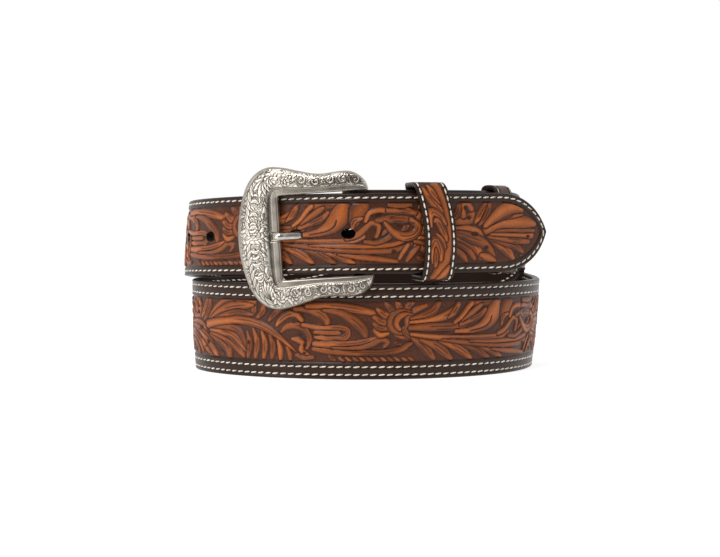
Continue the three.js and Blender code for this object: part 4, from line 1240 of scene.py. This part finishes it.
def blossom(ground, along, across, radius, petals, turn):
    """An engraved flower of pointed petals"""
    for k in range(petals):
        angle = turn + 2 * math.pi * k / petals
        small_leaf(ground, along + 0.14 * radius * math.cos(angle),
                   across + 0.14 * radius * math.sin(angle), angle,
                   radius * 0.86, radius * 0.3, 0.1, (0.0, 0.6))
    chase(ground, [(along - 0.1, across, radius * 0.17), (along + 0.1, across, radius * 0.17)], None, 1.0,
          0.1)


def engraving():
    width_most = frame_width.max() + 3
    ground = new_ground(-3.0, FRAME_RUN + 6, width_most / 2)
    ground["height"][:] = GROUND_DEPTH * 0.6
    ground["tone"][:] = 0.72
    middle = FRAME_RUN / 2
    scatter = np.random.default_rng(5)

    def field(run):
        """From and to across the engraved part of the frame"""
        wide = float(np.interp(run, frame_at, frame_width))
        return wide * ENGRAVED_FROM - width_most / 2, wide * ENGRAVED_TO - width_most / 2

    # small leaves that follow each other over the whole ground
    for run in np.arange(1.5, FRAME_RUN, 2.5):
        low, high = field(run)
        for across in np.arange(low + 0.6, high, 2.1):
            at = run + scatter.uniform(-0.4, 0.4)
            side = across + scatter.uniform(-0.3, 0.3)
            heading = 2.4 * math.sin(at / 4.6 + 1.3 * math.sin(side / 2.4)) + 1.4 * math.cos(side / 2.1 + at / 6.3)
            small_leaf(ground, at, side, heading, scatter.uniform(3.0, 4.2), scatter.uniform(0.66, 0.9),
                       0.9 * math.sin(at * 0.7), (0.05, 0.7) if scatter.random() < 0.5 else None)
    for side in (-1, 1):
        for run, share, size, turn, spin in (
            (6.4, 0.5, 0.22, 2.2, 1), (19, 0.42, 0.22, 0.6, -1),
            (48, 0.5, 0.3, 1.2, -1), (55, 0.46, 0.3, 2.8, 1), (61.6, 0.52, 0.32, 0.4, -1), (68, 0.5, 0.32,
                                                                                            2.4, 1),
            (74, 0.5, 0.3, 0.8, -1), (80, 0.5, 0.26, 2.2, 1),
        ):
            at = middle + side * run
            low, high = field(at)
            scroll(ground, at, low + (high - low) * share, (high - low) * size, turn * side, spin * side)
        # leaf fingers that curve along the outside of the bow
        for k in range(9):
            at = middle + side * (2 + 3.1 * k)
            low, high = field(at)
            small_leaf(ground, at, low + (high - low) * 0.62, (0.9 if side > 0 else math.pi - 0.9), 6.2,
                       0.95,
                       -0.9 * side, (0.1, 0.85))
            if k % 2:
                small_leaf(ground, at, low + (high - low) * 0.3, (0.5 if side > 0 else math.pi - 0.5),
                           4.4, 0.8,
                           1.1 * side, (0.1, 0.8))
        # long leaves that bend round the corner, then the flower that they spring from
        at = middle + side * 33
        low, high = field(at)
        for k in range(7):
            spread = k / 6
            small_leaf(ground, at - side * 1.5, low + (high - low) * (0.25 + 0.5 * spread),
                       (math.pi if side > 0 else 0) + (spread - 0.5) * 2.2 * side, 10.5 - 1.4 * abs(k - 3), 1.35,
                       0.5 * (spread - 0.5), (0.1, 0.85))
        blossom(ground, at, low + (high - low) * 0.5, (high - low) * 0.36, 8, 0.3)
        low, high = field(middle + side * 40.5)
        blossom(ground, middle + side * 40.5, low + (high - low) * 0.5, (high - low) * 0.3, 6, 0.1)
    soften(ground)
    return ground


silver_map = engraving()
FRONT_COLUMNS = 84
frame_across = np.linspace(0, 1, FRONT_COLUMNS + 1)
ENGRAVING_SCALE = 0.22
PLAIN_TONE = 0.42


def frame_body():
    profile = np.interp(frame_across, PROFILE[:, 0], PROFILE[:, 1])
    width = frame_width[:, None]
    narrow = smooth(width / (3 * BAND_WIDTH))
    fixed = frame_across * 4 * BAND_WIDTH / np.maximum(width, 4 * BAND_WIDTH)
    blend = smooth((frame_across - 0.22) / 0.16)
    share = (fixed * 0.9 + frame_across * 0.1) * (1 - blend) + frame_across * blend
    flat = frame_line[:, None, :2] * (1 - share[..., None]) + frame_line[:, None, 2:] * share[..., None]
    front = profile[None, :] * FRAME_THICKNESS * (0.72 + 0.28 * narrow)
    run = np.broadcast_to(frame_at[:, None], share.shape)
    row = (share * width) * PX
    column = (run - silver_map["start"]) * PX
    inside = smooth((frame_across - ENGRAVED_FROM + 0.02) / 0.04) * smooth((ENGRAVED_TO + 0.02 - frame_across) / 0.05)
    ends = smooth((run - 1.2) / 1.5) * smooth((FRAME_RUN - 1.2 - run) / 1.5)
    mask = inside[None, :] * ends
    height = read_map(silver_map["height"], row, column, False) * ENGRAVING_SCALE + 0.1
    tone = read_map(silver_map["tone"], row, column, False)
    front = front + height * mask
    tone = PLAIN_TONE * (1 - mask) + tone * mask
    # the rope line: a row of slanted nicks on the band beside the step
    rope = np.exp(-((frame_across - 0.235) / 0.022) ** 2)[None, :] * ends
    nicks = 0.5 + 0.5 * np.sin(2 * math.pi * (run / 0.95 + frame_across[None, :] * 6))
    front = front - 0.12 * rope * nicks
    tone = tone * (1 - 0.75 * rope * nicks)
    border = np.exp(-((frame_across - 0.285) / 0.012) ** 2)[None, :]
    front = front - 0.1 * border
    tone = tone * (1 - 0.6 * border)
    # the rest for the tongue, filed into the band
    rest = smooth((2.6 - np.abs(flat[..., 1] - 0.7)) / 0.9) * smooth((flat[..., 0] + 5.6) / 1.2)
    front = front - 0.95 * rest
    inner_height = front[:, :1] * np.array([[0.0, 0.35, 0.7]])
    outer_height = front[:, -1:] * np.array([[0.75, 0.35, 0.0]])
    outer_flat = np.repeat(flat[:, -1:], 3, axis=1)
    inner_flat = np.repeat(flat[:, :1], 3, axis=1)
    back_share = np.linspace(0.97, 0.03, 8)[None, :, None]
    back_flat = frame_line[:, None, :2] * (1 - back_share) + frame_line[:, None, 2:] * back_share
    all_flat = np.concatenate([inner_flat, flat, outer_flat, back_flat, inner_flat[:, :1]], axis=1)
    all_out = np.concatenate([inner_height, front, outer_height, 0 * back_flat[..., 0], inner_height[:,
                                                                                                     :1]], axis=1)
    all_tone = np.concatenate([np.full((len(frame_at), 3), 0.75), tone, np.full((len(frame_at), 12),
                                                                                0.75)], axis=1)
    points = with_ends(placed(buckle_point(all_flat[..., 0], all_flat[..., 1], all_out)))
    return grid_body("buckle_frame_chased", points, {"tone": with_end_values(all_tone)})


antique_silver, tree, shader = new_material("antique_silver")
place = add_node(tree, "ShaderNodeTexCoord").outputs["Object"]
clouds = add_node(tree, "ShaderNodeTexNoise", {"Vector": place, "Scale": 140.0, "Detail": 4.0,
                                               "Roughness": 0.62})
fine = add_node(tree, "ShaderNodeTexNoise", {"Vector": place, "Scale": 1700.0, "Detail": 2.0})
silver_tone = add_node(tree, "ShaderNodeMath",
                       {0: clouds.outputs["Fac"], 1: 0.3, 2: attribute_value(tree,
                                                                             "tone")}, operation="MULTIPLY_ADD")
silver_colour = add_node(tree, "ShaderNodeValToRGB", {"Fac": silver_tone.outputs[0]})
set_ramp(silver_colour, [
    (0.16, srgb(46, 41, 36)),
    (0.5, srgb(150, 142, 131)),
    (0.8, srgb(204, 198, 188)),
    (1.0, srgb(226, 221, 212)),
])
silver_rough = add_node(tree, "ShaderNodeMapRange",
                        {"Value": clouds.outputs["Fac"], "From Min": 0.3, "From Max": 0.7, "To Min": 0.26,
                         "To Max": 0.4})
silver_bump = add_node(tree, "ShaderNodeBump", {"Height": fine.outputs["Fac"], "Strength": 0.25,
                                                "Distance": 0.00005})
tree.links.new(silver_colour.outputs["Color"], shader.inputs["Base Color"])
tree.links.new(silver_rough.outputs[0], shader.inputs["Roughness"])
tree.links.new(silver_bump.outputs["Normal"], shader.inputs["Normal"])
shader.inputs["Metallic"].default_value = 1.0

buckle = frame_body()
buckle.data.materials.append(antique_silver)
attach(buckle, "root")
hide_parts("buckle_frame")

# The heel bar stands between two lugs behind the arms
LUG_WIDTH = 5.0
LUG_HEIGHT = 2.4
LUG_CLEAR = 1.0
BAR_SIDES = 32
bar_bm = bmesh.new()
bar_length = 2 * (OPENING_HALF_HEIGHT + LUG_CLEAR + LUG_HEIGHT / 2)
bar_place = Matrix.Translation((BAR_X, 0, -FRAME_BACK_FROM_BAR)) @ Matrix.Rotation(math.pi / 2, 4, "X")
bmesh.ops.create_cone(bar_bm, cap_ends=True, segments=BAR_SIDES, radius1=BAR_RADIUS, radius2=BAR_RADIUS,
                      depth=bar_length, matrix=bar_place)
lug_depth = FRAME_BACK_FROM_BAR + BAR_RADIUS + FRAME_THICKNESS / 4
for side in (-1, 1):
    lug_middle = side * (OPENING_HALF_HEIGHT + LUG_CLEAR + LUG_HEIGHT / 2)
    made = bmesh.ops.create_cube(bar_bm, size=1, matrix=Matrix.Translation(
        (BAR_X, lug_middle, lug_depth / 2 - FRAME_BACK_FROM_BAR - BAR_RADIUS)) @ Matrix.Diagonal(
        (LUG_WIDTH, LUG_HEIGHT, lug_depth, 1)))
    edges = list({edge for vert in made["verts"] for edge in vert.link_edges})
    bmesh.ops.bevel(bar_bm, geom=edges, offset=0.6, offset_type="OFFSET", segments=3, profile=0.5,
                    affect="EDGES", material=-1)
for vert in bar_bm.verts:
    x, y, z = vert.co
    vert.co = Vector(placed(buckle_point(np.array(x), np.array(y), np.array(z))))
bmesh.ops.recalc_face_normals(bar_bm, faces=bar_bm.faces)
# Silver for the heel bar and the tongue. Where the tone attribute is 0 the colour is near-black and the surface matt
# and not metallic: painted shade on the heel bar and on the hook of the tongue, which lie behind the strap.
silver_with_painted_shade, tree, shader = new_material("silver_with_painted_shade")
place = add_node(tree, "ShaderNodeTexCoord").outputs["Object"]
wear = add_node(tree, "ShaderNodeTexNoise", {"Vector": place, "Scale": 320.0, "Detail": 3.0})
wear_colour = add_node(tree, "ShaderNodeValToRGB", {"Fac": wear.outputs["Fac"]})
set_ramp(wear_colour, [(0.25, srgb(150, 144, 134)), (0.6, srgb(212, 207, 198))])
painted_shade_colour = add_node(tree, "ShaderNodeMix", {"Factor": attribute_value(tree, "tone"), "A": srgb(20, 18, 16),
                                             "B": wear_colour.outputs["Color"]}, data_type="RGBA")
wear_rough = add_node(tree, "ShaderNodeMapRange",
                      {"Value": wear.outputs["Fac"], "From Min": 0.3, "From Max": 0.7, "To Min": 0.34,
                       "To Max": 0.2})
tree.links.new(painted_shade_colour.outputs[2], shader.inputs["Base Color"])
painted_shade_specular = add_node(tree, "ShaderNodeMath", {0: attribute_value(tree, "tone"), 1: 0.5}, operation="MULTIPLY")
painted_shade_roughness = add_node(tree, "ShaderNodeMix", {"Factor": attribute_value(tree, "tone"), "A": 0.9,
                                        "B": wear_rough.outputs[0]})
tree.links.new(painted_shade_roughness.outputs[0], shader.inputs["Roughness"])
tree.links.new(attribute_value(tree, "tone"), shader.inputs["Metallic"])
tree.links.new(painted_shade_specular.outputs[0], shader.inputs["Specular IOR Level"])
heel_bar = mesh_piece("buckle_heel_bar", bar_bm, silver_with_painted_shade, "buckle_frame")
heel_bar.data.set_sharp_from_angle(angle=math.radians(40))
# The bar itself gets tone 0 and is painted near-black as shade; the lugs keep tone 0.8 and their silver.
bar_painted_shade_tone = heel_bar.data.attributes.new("tone", "FLOAT", "POINT")
on_lug = np.arange(len(heel_bar.data.vertices)) >= 2 * BAR_SIDES
bar_painted_shade_tone.data.foreach_set("value", np.where(on_lug, 0.8, 0.0).astype(np.float32))

# The tongue: a cast hook that turns on the heel bar, comes through the hole in use and lies on the
# frame's band, narrowed to a flat nib.
TONGUE_WIDTH = 3.7
TONGUE_DEPTH = 2.9
TONGUE_TIP_X = -2.4
TONGUE_LAND_X = 0.8
tongue_rest = FRAME_THICKNESS - 0.8 + TONGUE_DEPTH / 2 + CONTACT / 2
hook = BAR_RADIUS + 2 * CONTACT + TONGUE_DEPTH / 2
tongue_rows = []
for hook_turn in (300, 330, 0, 30, 60, 90, 120, 150, 175):
    angle = math.radians(hook_turn)
    tongue_rows.append((BAR_X + hook * math.cos(angle), -FRAME_BACK_FROM_BAR + hook * math.sin(angle), 1))
for share, out in ((0.3, -0.95), (0.6, -0.72), (0.8, -0.4), (0.95, 0.05), (1.1, 0.52)):
    tongue_rows.append((BAR_X - (BAR_X - TONGUE_HOLE_X) * share, out * FRAME_BACK_FROM_BAR, 1))
tongue_rows.append((TONGUE_LAND_X, tongue_rest, 1))
tongue_rows.append((TONGUE_TIP_X + TONGUE_DEPTH / 2, tongue_rest, 0.93))
tongue_rows.append((TONGUE_TIP_X, tongue_rest - 0.1, 0.75))
tongue_line = spine_line(tongue_rows)
tongue_run = run_along(tongue_line[:, :2])
tongue_at = np.linspace(0, tongue_run[-1], 150)
tongue_x = np.interp(tongue_at, tongue_run, tongue_line[:, 0])
tongue_out = np.interp(tongue_at, tongue_run, tongue_line[:, 1])
tongue_size = np.interp(tongue_at, tongue_run, tongue_line[:, 2])
end_round = np.sqrt(np.clip(1 - (1 - np.clip((tongue_run[-1] - tongue_at) / 1.3, 0, 1)) ** 2, 0.0, 1))
start_round = np.sqrt(np.clip(1 - (1 - np.clip(tongue_at / 1.3, 0, 1)) ** 2, 0.0, 1))
tongue_size = tongue_size * end_round * start_round
step_x = np.gradient(tongue_x)
step_out = np.gradient(tongue_out)
step_size = np.hypot(step_x, step_out)
normal_x = (step_out / step_size)[:, None]
normal_out = (-step_x / step_size)[:, None]
section = np.linspace(0, 2 * math.pi, 25)[None, :]
lift = np.sign(np.cos(section)) * np.abs(np.cos(section)) ** 0.85 * TONGUE_DEPTH / 2 * tongue_size[:, None]
side = np.sign(np.sin(section)) * np.abs(np.sin(section)) ** 0.85 * TONGUE_WIDTH / 2 * tongue_size[:, None]
tongue_points = placed(buckle_point(
    tongue_x[:, None] + normal_x * lift,
    0.02 * (BAR_X - tongue_x[:, None]) + side,
    tongue_out[:, None] + normal_out * lift,
))
# The hook of the tongue round the bar gets tone 0: painted shade where it lies behind the strap; the rest of the
# tongue stays silver.
free_of_painted_shade = smooth((BAR_X - 9 - tongue_x) / 2)[:, None] + 0 * lift
tongue = grid_body("buckle_tongue_cast", tongue_points, {"tone": free_of_painted_shade})
tongue.data.materials.append(silver_with_painted_shade)
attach(tongue, "root")
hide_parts("buckle_tongue")

# The keepers: two loops of the same leather. The front one holds the tip down and is tooled with a
# stem and three leaf curls, with a stitched row along each side. The other is round the under strap.
KEEPER_WIDTH = 14.3
KEEPER_WALL = 2.4
KEEPER_BULGE = 1.8
KEEPER_SLACK = 3.0
KEEPER_SKEW = math.radians(4.5)
KEEPER_CORNER = 4.0
BEND_CLEAR = CONTACT + 0.15
KEEPER_FRONT_TURN = 19.0
KEEPER_BACK_TURN = 49.3
KEEPER_STITCH = 1.5
KEEPER_BOW = 2.8
KEEPER_FRONT_EDGE = 3.3
KEEPER_BACK_EDGE = 2.4
KEEPER_MAP_REACH = 26.0
KEEPER_MAP_HALF = 7.0

# the stem and its curls, as rows (up from the middle, across the keeper, half width)
KEEPER_LEAVES = [
    ((0.25, 0.9), [(21, -4.4, 0.6), (17.6, -3, 1.3), (13, -0.4, 1.6), (8.6, 2.6, 1.1)]),
    ((0.2, 0.9), [(22, -1.6, 0.6), (18.4, -0.2, 1.3), (14.4, 1.8, 1.1), (12, 3.2, 0.6)]),
    (None, [(23, 2, 1.4), (17, 3.4, 1.3), (10, 4.2, 1.3), (2, 4.4, 1.4), (-6, 4.1, 1.6), (-12, 2.8, 1.8),
            (-17, 0.8, 1.7), (-22, -2.2, 1.2)]),
    ((0.35, 0.95), [(2.4, -4.2, 0.6), (6.6, -4.4, 1.1), (9.4, -2.6, 1.3), (8, 0, 1.3), (3.6, 2, 0.9)]),
    ((0.2, 0.9), [(4.6, -2.6, 0.5), (5.6, -1.4, 0.9), (1, 0.8, 1.2), (-4, 2.2, 0.8)]),
    (None, [(-1, -2, 0.5), (-3.6, -0.2, 1), (-7.4, 1.4, 0.8)]),
    ((0.3, 0.95), [(-15, -3.6, 0.5), (-9.4, -4.2, 1), (-5.2, -4, 1.2), (-4, -2.4, 1.1), (-8, -0.6, 1.2),
                   (-13.4, 0, 0.8)]),
    ((0.2, 0.85), [(-8, -2.6, 0.5), (-12, -2.2, 0.9), (-16.4, -2, 0.7)]),
    (None, [(-17, 4.4, 1), (-20, 2.6, 1.3), (-23, 0.2, 0.9)]),
]


def keeper_map():
    ground = new_ground(-KEEPER_MAP_REACH, 2 * KEEPER_MAP_REACH, KEEPER_MAP_HALF)
    for index, (vein, rows) in enumerate(KEEPER_LEAVES):
        spread = math.sin(index * 2.4)
        carve(ground, rows, vein, 0.9 + 0.08 * spread, 0.02 * spread, 0.08)
    soften(ground)
    return ground


def keeper_loop(inside, outside, low, high, edge_wall, count):
    """The outside of a keeper as a closed run of points (out, up), from the middle of the front upwards"""
    left = inside - KEEPER_WALL
    right = outside + KEEPER_WALL
    bottom = low - edge_wall
    top = high + edge_wall
    r = KEEPER_CORNER
    b = KEEPER_BULGE
    middle = (bottom + top) / 2

    def bow(start, control, end, steps_count):
        u = np.linspace(0, 1, steps_count, endpoint=False)[:, None]
        p, q, s = (np.array(v, float) for v in (start, control, end))
        return p * (1 - u) ** 2 + 2 * q * u * (1 - u) + s * u ** 2

    front = bow((right + 0.3 * b, bottom + r), (right + 1.7 * b, middle), (right + 0.3 * b, top - r), 80)
    outline = np.vstack([
        front[40:],
        bow((right + 0.3 * b, top - r), (right, top), (right - r, top), 12),
        bow((right - r, top), ((left + right) / 2, top), (left + r, top), 10),
        bow((left + r, top), (left, top), (left, top - r), 12),
        bow((left, top - r), (left, middle), (left, bottom + r), 30),
        bow((left, bottom + r), (left, bottom), (left + r, bottom), 12),
        bow((left + r, bottom), ((left + right) / 2, bottom), (right - r, bottom), 10),
        bow((right - r, bottom), (right, bottom), (right + 0.3 * b, bottom + r), 12),
        front[:41],
    ])
    length = run_along(outline)
    marks = np.linspace(0, length[-1], count + 1)
    loop = np.stack([np.interp(marks, length, outline[:, 0]), np.interp(marks, length, outline[:, 1])], -1)
    step = np.roll(loop[:-1], -1, axis=0) - np.roll(loop[:-1], 1, axis=0)
    step /= np.linalg.norm(step, axis=1, keepdims=True)
    normal = np.stack([step[:, 1], -step[:, 0]], -1)
    normal = np.vstack([normal, normal[:1]])
    return loop, normal, marks


def keeper_place(middle_along, skew, bow, mid_height, half_height, out, up, across):
    """Puts points of a keeper round the strap: out of the strap's middle, up, and across the keeper"""
    from_middle = up - mid_height
    bent = bow * (1 - (from_middle / half_height) ** 2) - from_middle * math.tan(skew)
    along = middle_along + across + bent
    x, y, face, lean_up, travel = strap_axes(along)
    leaned = out + (up - mid_height) * np.sin(on_route(route_lean, along))
    return np.stack([x + face[..., 0] * leaned, y + face[..., 1] * leaned, up], -1)


def add_keeper(name, node, turn, skew, bow, inside, outside, low, high, edge_wall, relief, tooled):
    middle_along = along_at(turn)
    mid_height = (low + high) / 2
    count = 360
    half_height = (high - low) / 2 + edge_wall
    loop, normal, marks = keeper_loop(inside, outside, low, high, edge_wall, count)

    def in_place(out, up, across):
        return placed(keeper_place(middle_along, skew, bow, mid_height, half_height, out, up, across))

    half = KEEPER_WIDTH / 2
    face_share = np.linspace(-1, 1, 45)
    face_across = face_share * (half - 0.6)
    from_side = half - np.abs(face_across)
    run = np.where(marks > marks[-1] / 2, marks - marks[-1], marks)
    row = np.broadcast_to((face_across[None, :] + KEEPER_MAP_HALF) * PX, (count + 1, 45))
    column = np.broadcast_to((run[:, None] + KEEPER_MAP_REACH) * PX, (count + 1, 45))
    height = read_map(relief["height"], row, column, False)
    tone = read_map(relief["tone"], row, column, False)
    front = smooth((25 - np.abs(run)) / 2.5)[:, None]
    band = smooth((2.7 - from_side) / 0.4)[None, :]
    groove = np.exp(-((from_side - KEEPER_STITCH) / 0.5) ** 2)[None, :]
    height = height * (1 - band) * front - 0.08 * band - 0.22 * groove * front
    tone = (tone * (1 - band) + 0.2 * band) * front + 0.22 * (1 - front)
    height = height if tooled else 0 * height
    cut = np.exp(-((from_side - 2.8) / 0.3) ** 2)[None, :] * front
    height = height - 0.5 * cut * (height > -0.4)
    dye = np.maximum(1 - smooth((from_side - 2.3) / 0.7)[None, :], 1 - front) * 0.85
    dye = dye if tooled else 0 * dye + 0.85
    rim_turns = np.radians([30, 60, 90])
    rim_across = half - 0.6 + 0.6 * np.sin(rim_turns)
    rim_deep = -0.6 + 0.6 * np.cos(rim_turns)
    back_across = np.linspace(half - 0.3, -half + 0.3, 9)
    across = np.concatenate([face_across, rim_across, [half], back_across, [-half], -rim_across[::-1],
                             face_across[:1]])
    inner = -KEEPER_WALL
    base = np.concatenate([0 * face_across, rim_deep, [inner + 0.4], np.full(9, inner), [inner + 0.4],
                           rim_deep[::-1], [0]])
    deep = np.broadcast_to(base, (count + 1, len(base))).copy()
    deep[:, :45] += height
    deep[:, -1] = deep[:, 0]
    tones = np.full(deep.shape, 0.15)
    tones[:, :45] = tone
    tones[:, -1] = tones[:, 0]
    dyes = np.ones(deep.shape)
    dyes[:, :45] = dye
    dyes[:, -1] = dyes[:, 0]
    out = loop[:, :1] + normal[:, :1] * deep
    up = loop[:, 1:] + normal[:, 1:] * deep
    points = in_place(out, up, np.broadcast_to(across, deep.shape))
    piece = grid_body(name, points, {"tone": tones, "dye": dyes})
    piece.data.materials.append(tooled_leather)
    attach(piece, "root")
    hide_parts(node)
    # stitches along both sides, all round the loop
    places = []
    stitch_count = int(marks[-1] / 3.45)
    for k in range(stitch_count):
        at = marks[-1] * (k + 0.5) / stitch_count
        for side in (-1, 1):
            ends = []
            for ahead in (-1.3, 1.3):
                mark = (at + ahead) % marks[-1]
                o, u, n_out, n_up = (np.interp(mark, marks, values) for values in (*loop.T, *normal.T))
                sunk = 0.12
                ends.append(Vector(in_place(np.array(o - n_out * sunk), np.array(u - n_up * sunk),
                                            np.array(side * (half - KEEPER_STITCH)))))
            axis = ends[1] - ends[0]
            size = Matrix.Diagonal((axis.length * 0.55, STITCH_WIDE / 2 * MM, STITCH_DEEP / 2 * MM, 1))
            turned = axis.to_track_quat("X", "Z").to_matrix().to_4x4()
            places.append(Matrix.Translation((ends[0] + ends[1]) / 2) @ turned @ size)
    sewn(name + "_stitches", places)


under_low = UPPER_BOTTOM
under_high = UPPER_BOTTOM + END_WIDTH
over_low = 0.972 * UPPER_BOTTOM
tab_inside = -LEATHER / 2 - CONTACT - TAB_LEATHER - BEND_CLEAR
keeper_reach = math.degrees(KEEPER_WIDTH / RING_HALF_WIDTH / 2)
keeper_turns = KEEPER_FRONT_TURN + np.array([-keeper_reach, 0, keeper_reach])
strand_spread = float(max(through_rows(1, 720 + keeper_turns) - through_rows(1, keeper_turns)))
keeper_relief = keeper_map()
add_keeper("keeper_front_tooled", "keeper_front", KEEPER_FRONT_TURN, KEEPER_SKEW, KEEPER_BOW,
           tab_inside - KEEPER_SLACK, strand_spread + LEATHER / 2 + BEND_CLEAR,
           over_low - CONTACT, under_high + CONTACT, KEEPER_FRONT_EDGE, keeper_relief, True)
add_keeper("keeper_back_plain", "keeper_back", KEEPER_BACK_TURN, 0.0, 0.0, -LEATHER / 2 - BEND_CLEAR,
           LEATHER / 2 + BEND_CLEAR, under_low - CONTACT, under_high + CONTACT, KEEPER_BACK_EDGE, keeper_relief, False)

# The stage: white paper that starts just in front of the belt, a key light above on the left, a
# fill from the right and a low light at the buckle's side.
scene = bpy.context.scene
floor_bm = bmesh.new()
bmesh.ops.create_grid(floor_bm, x_segments=1, y_segments=1, size=4.0,
                      matrix=Matrix.Translation((0, 3.54, 0)))
floor_mesh = bpy.data.meshes.new("floor")
floor_bm.to_mesh(floor_mesh)
floor_bm.free()
floor = new_object("floor", floor_mesh)
floor_material, tree, shader = new_material("floor_paper")
shader.inputs["Base Color"].default_value = (0.42, 0.42, 0.42, 1)
shader.inputs["Emission Color"].default_value = (1, 1, 1, 1)
shader.inputs["Emission Strength"].default_value = 0.72
shader.inputs["Roughness"].default_value = 0.9
shader.inputs["Specular IOR Level"].default_value = 0.2
floor_mesh.materials.append(floor_material)

world = bpy.data.worlds.new("studio")
scene.world = world
world.use_nodes = True
tree = world.node_tree
direction = add_node(tree, "ShaderNodeTexCoord").outputs["Generated"]
parts = add_node(tree, "ShaderNodeSeparateXYZ", {"Vector": direction})
level = add_node(tree, "ShaderNodeMath", {0: parts.outputs["Z"], 1: 0.8, 2: parts.outputs["Y"]},
                 operation="MULTIPLY_ADD")
glow = add_node(tree, "ShaderNodeMapRange",
                {"Value": level.outputs[0], "From Min": -0.3, "From Max": 0.5, "To Min": 0.16,
                 "To Max": 1.0})
tree.links.new(glow.outputs[0], tree.nodes["Background"].inputs["Color"])


def soft_light(name, place, target, size, power):
    light = bpy.data.lights.new(name, "AREA")
    light.shape = "RECTANGLE"
    light.size = size[0]
    light.size_y = size[1]
    light.energy = power
    lamp = new_object(name, light)
    lamp.location = place
    lamp.rotation_euler = (Vector(target) - Vector(place)).to_track_quat("-Z", "Y").to_euler()


middle = (0.0, -0.03, 0.05)
soft_light("key", (-0.45, -0.8, 0.9), middle, (0.5, 0.4), 7.4)
soft_light("fill", (0.9, -0.6, 0.35), middle, (0.5, 0.7), 1.2)
soft_light("side", (-0.76, -0.59, 0.2), (-0.03, -0.06, 0.067), (0.4, 0.5), 1.9)

camera = bpy.data.cameras.new("camera")
camera.lens = 76.0
camera.sensor_width = 36.0
camera.clip_start = 0.01
camera_object = new_object("camera", camera)
camera_object.location = (-0.0017, -0.7864, 0.078)
camera_object.rotation_euler = (math.radians(90 - 2.35), 0, 0)
scene.camera = camera_object
scene.view_settings.view_transform = "Standard"
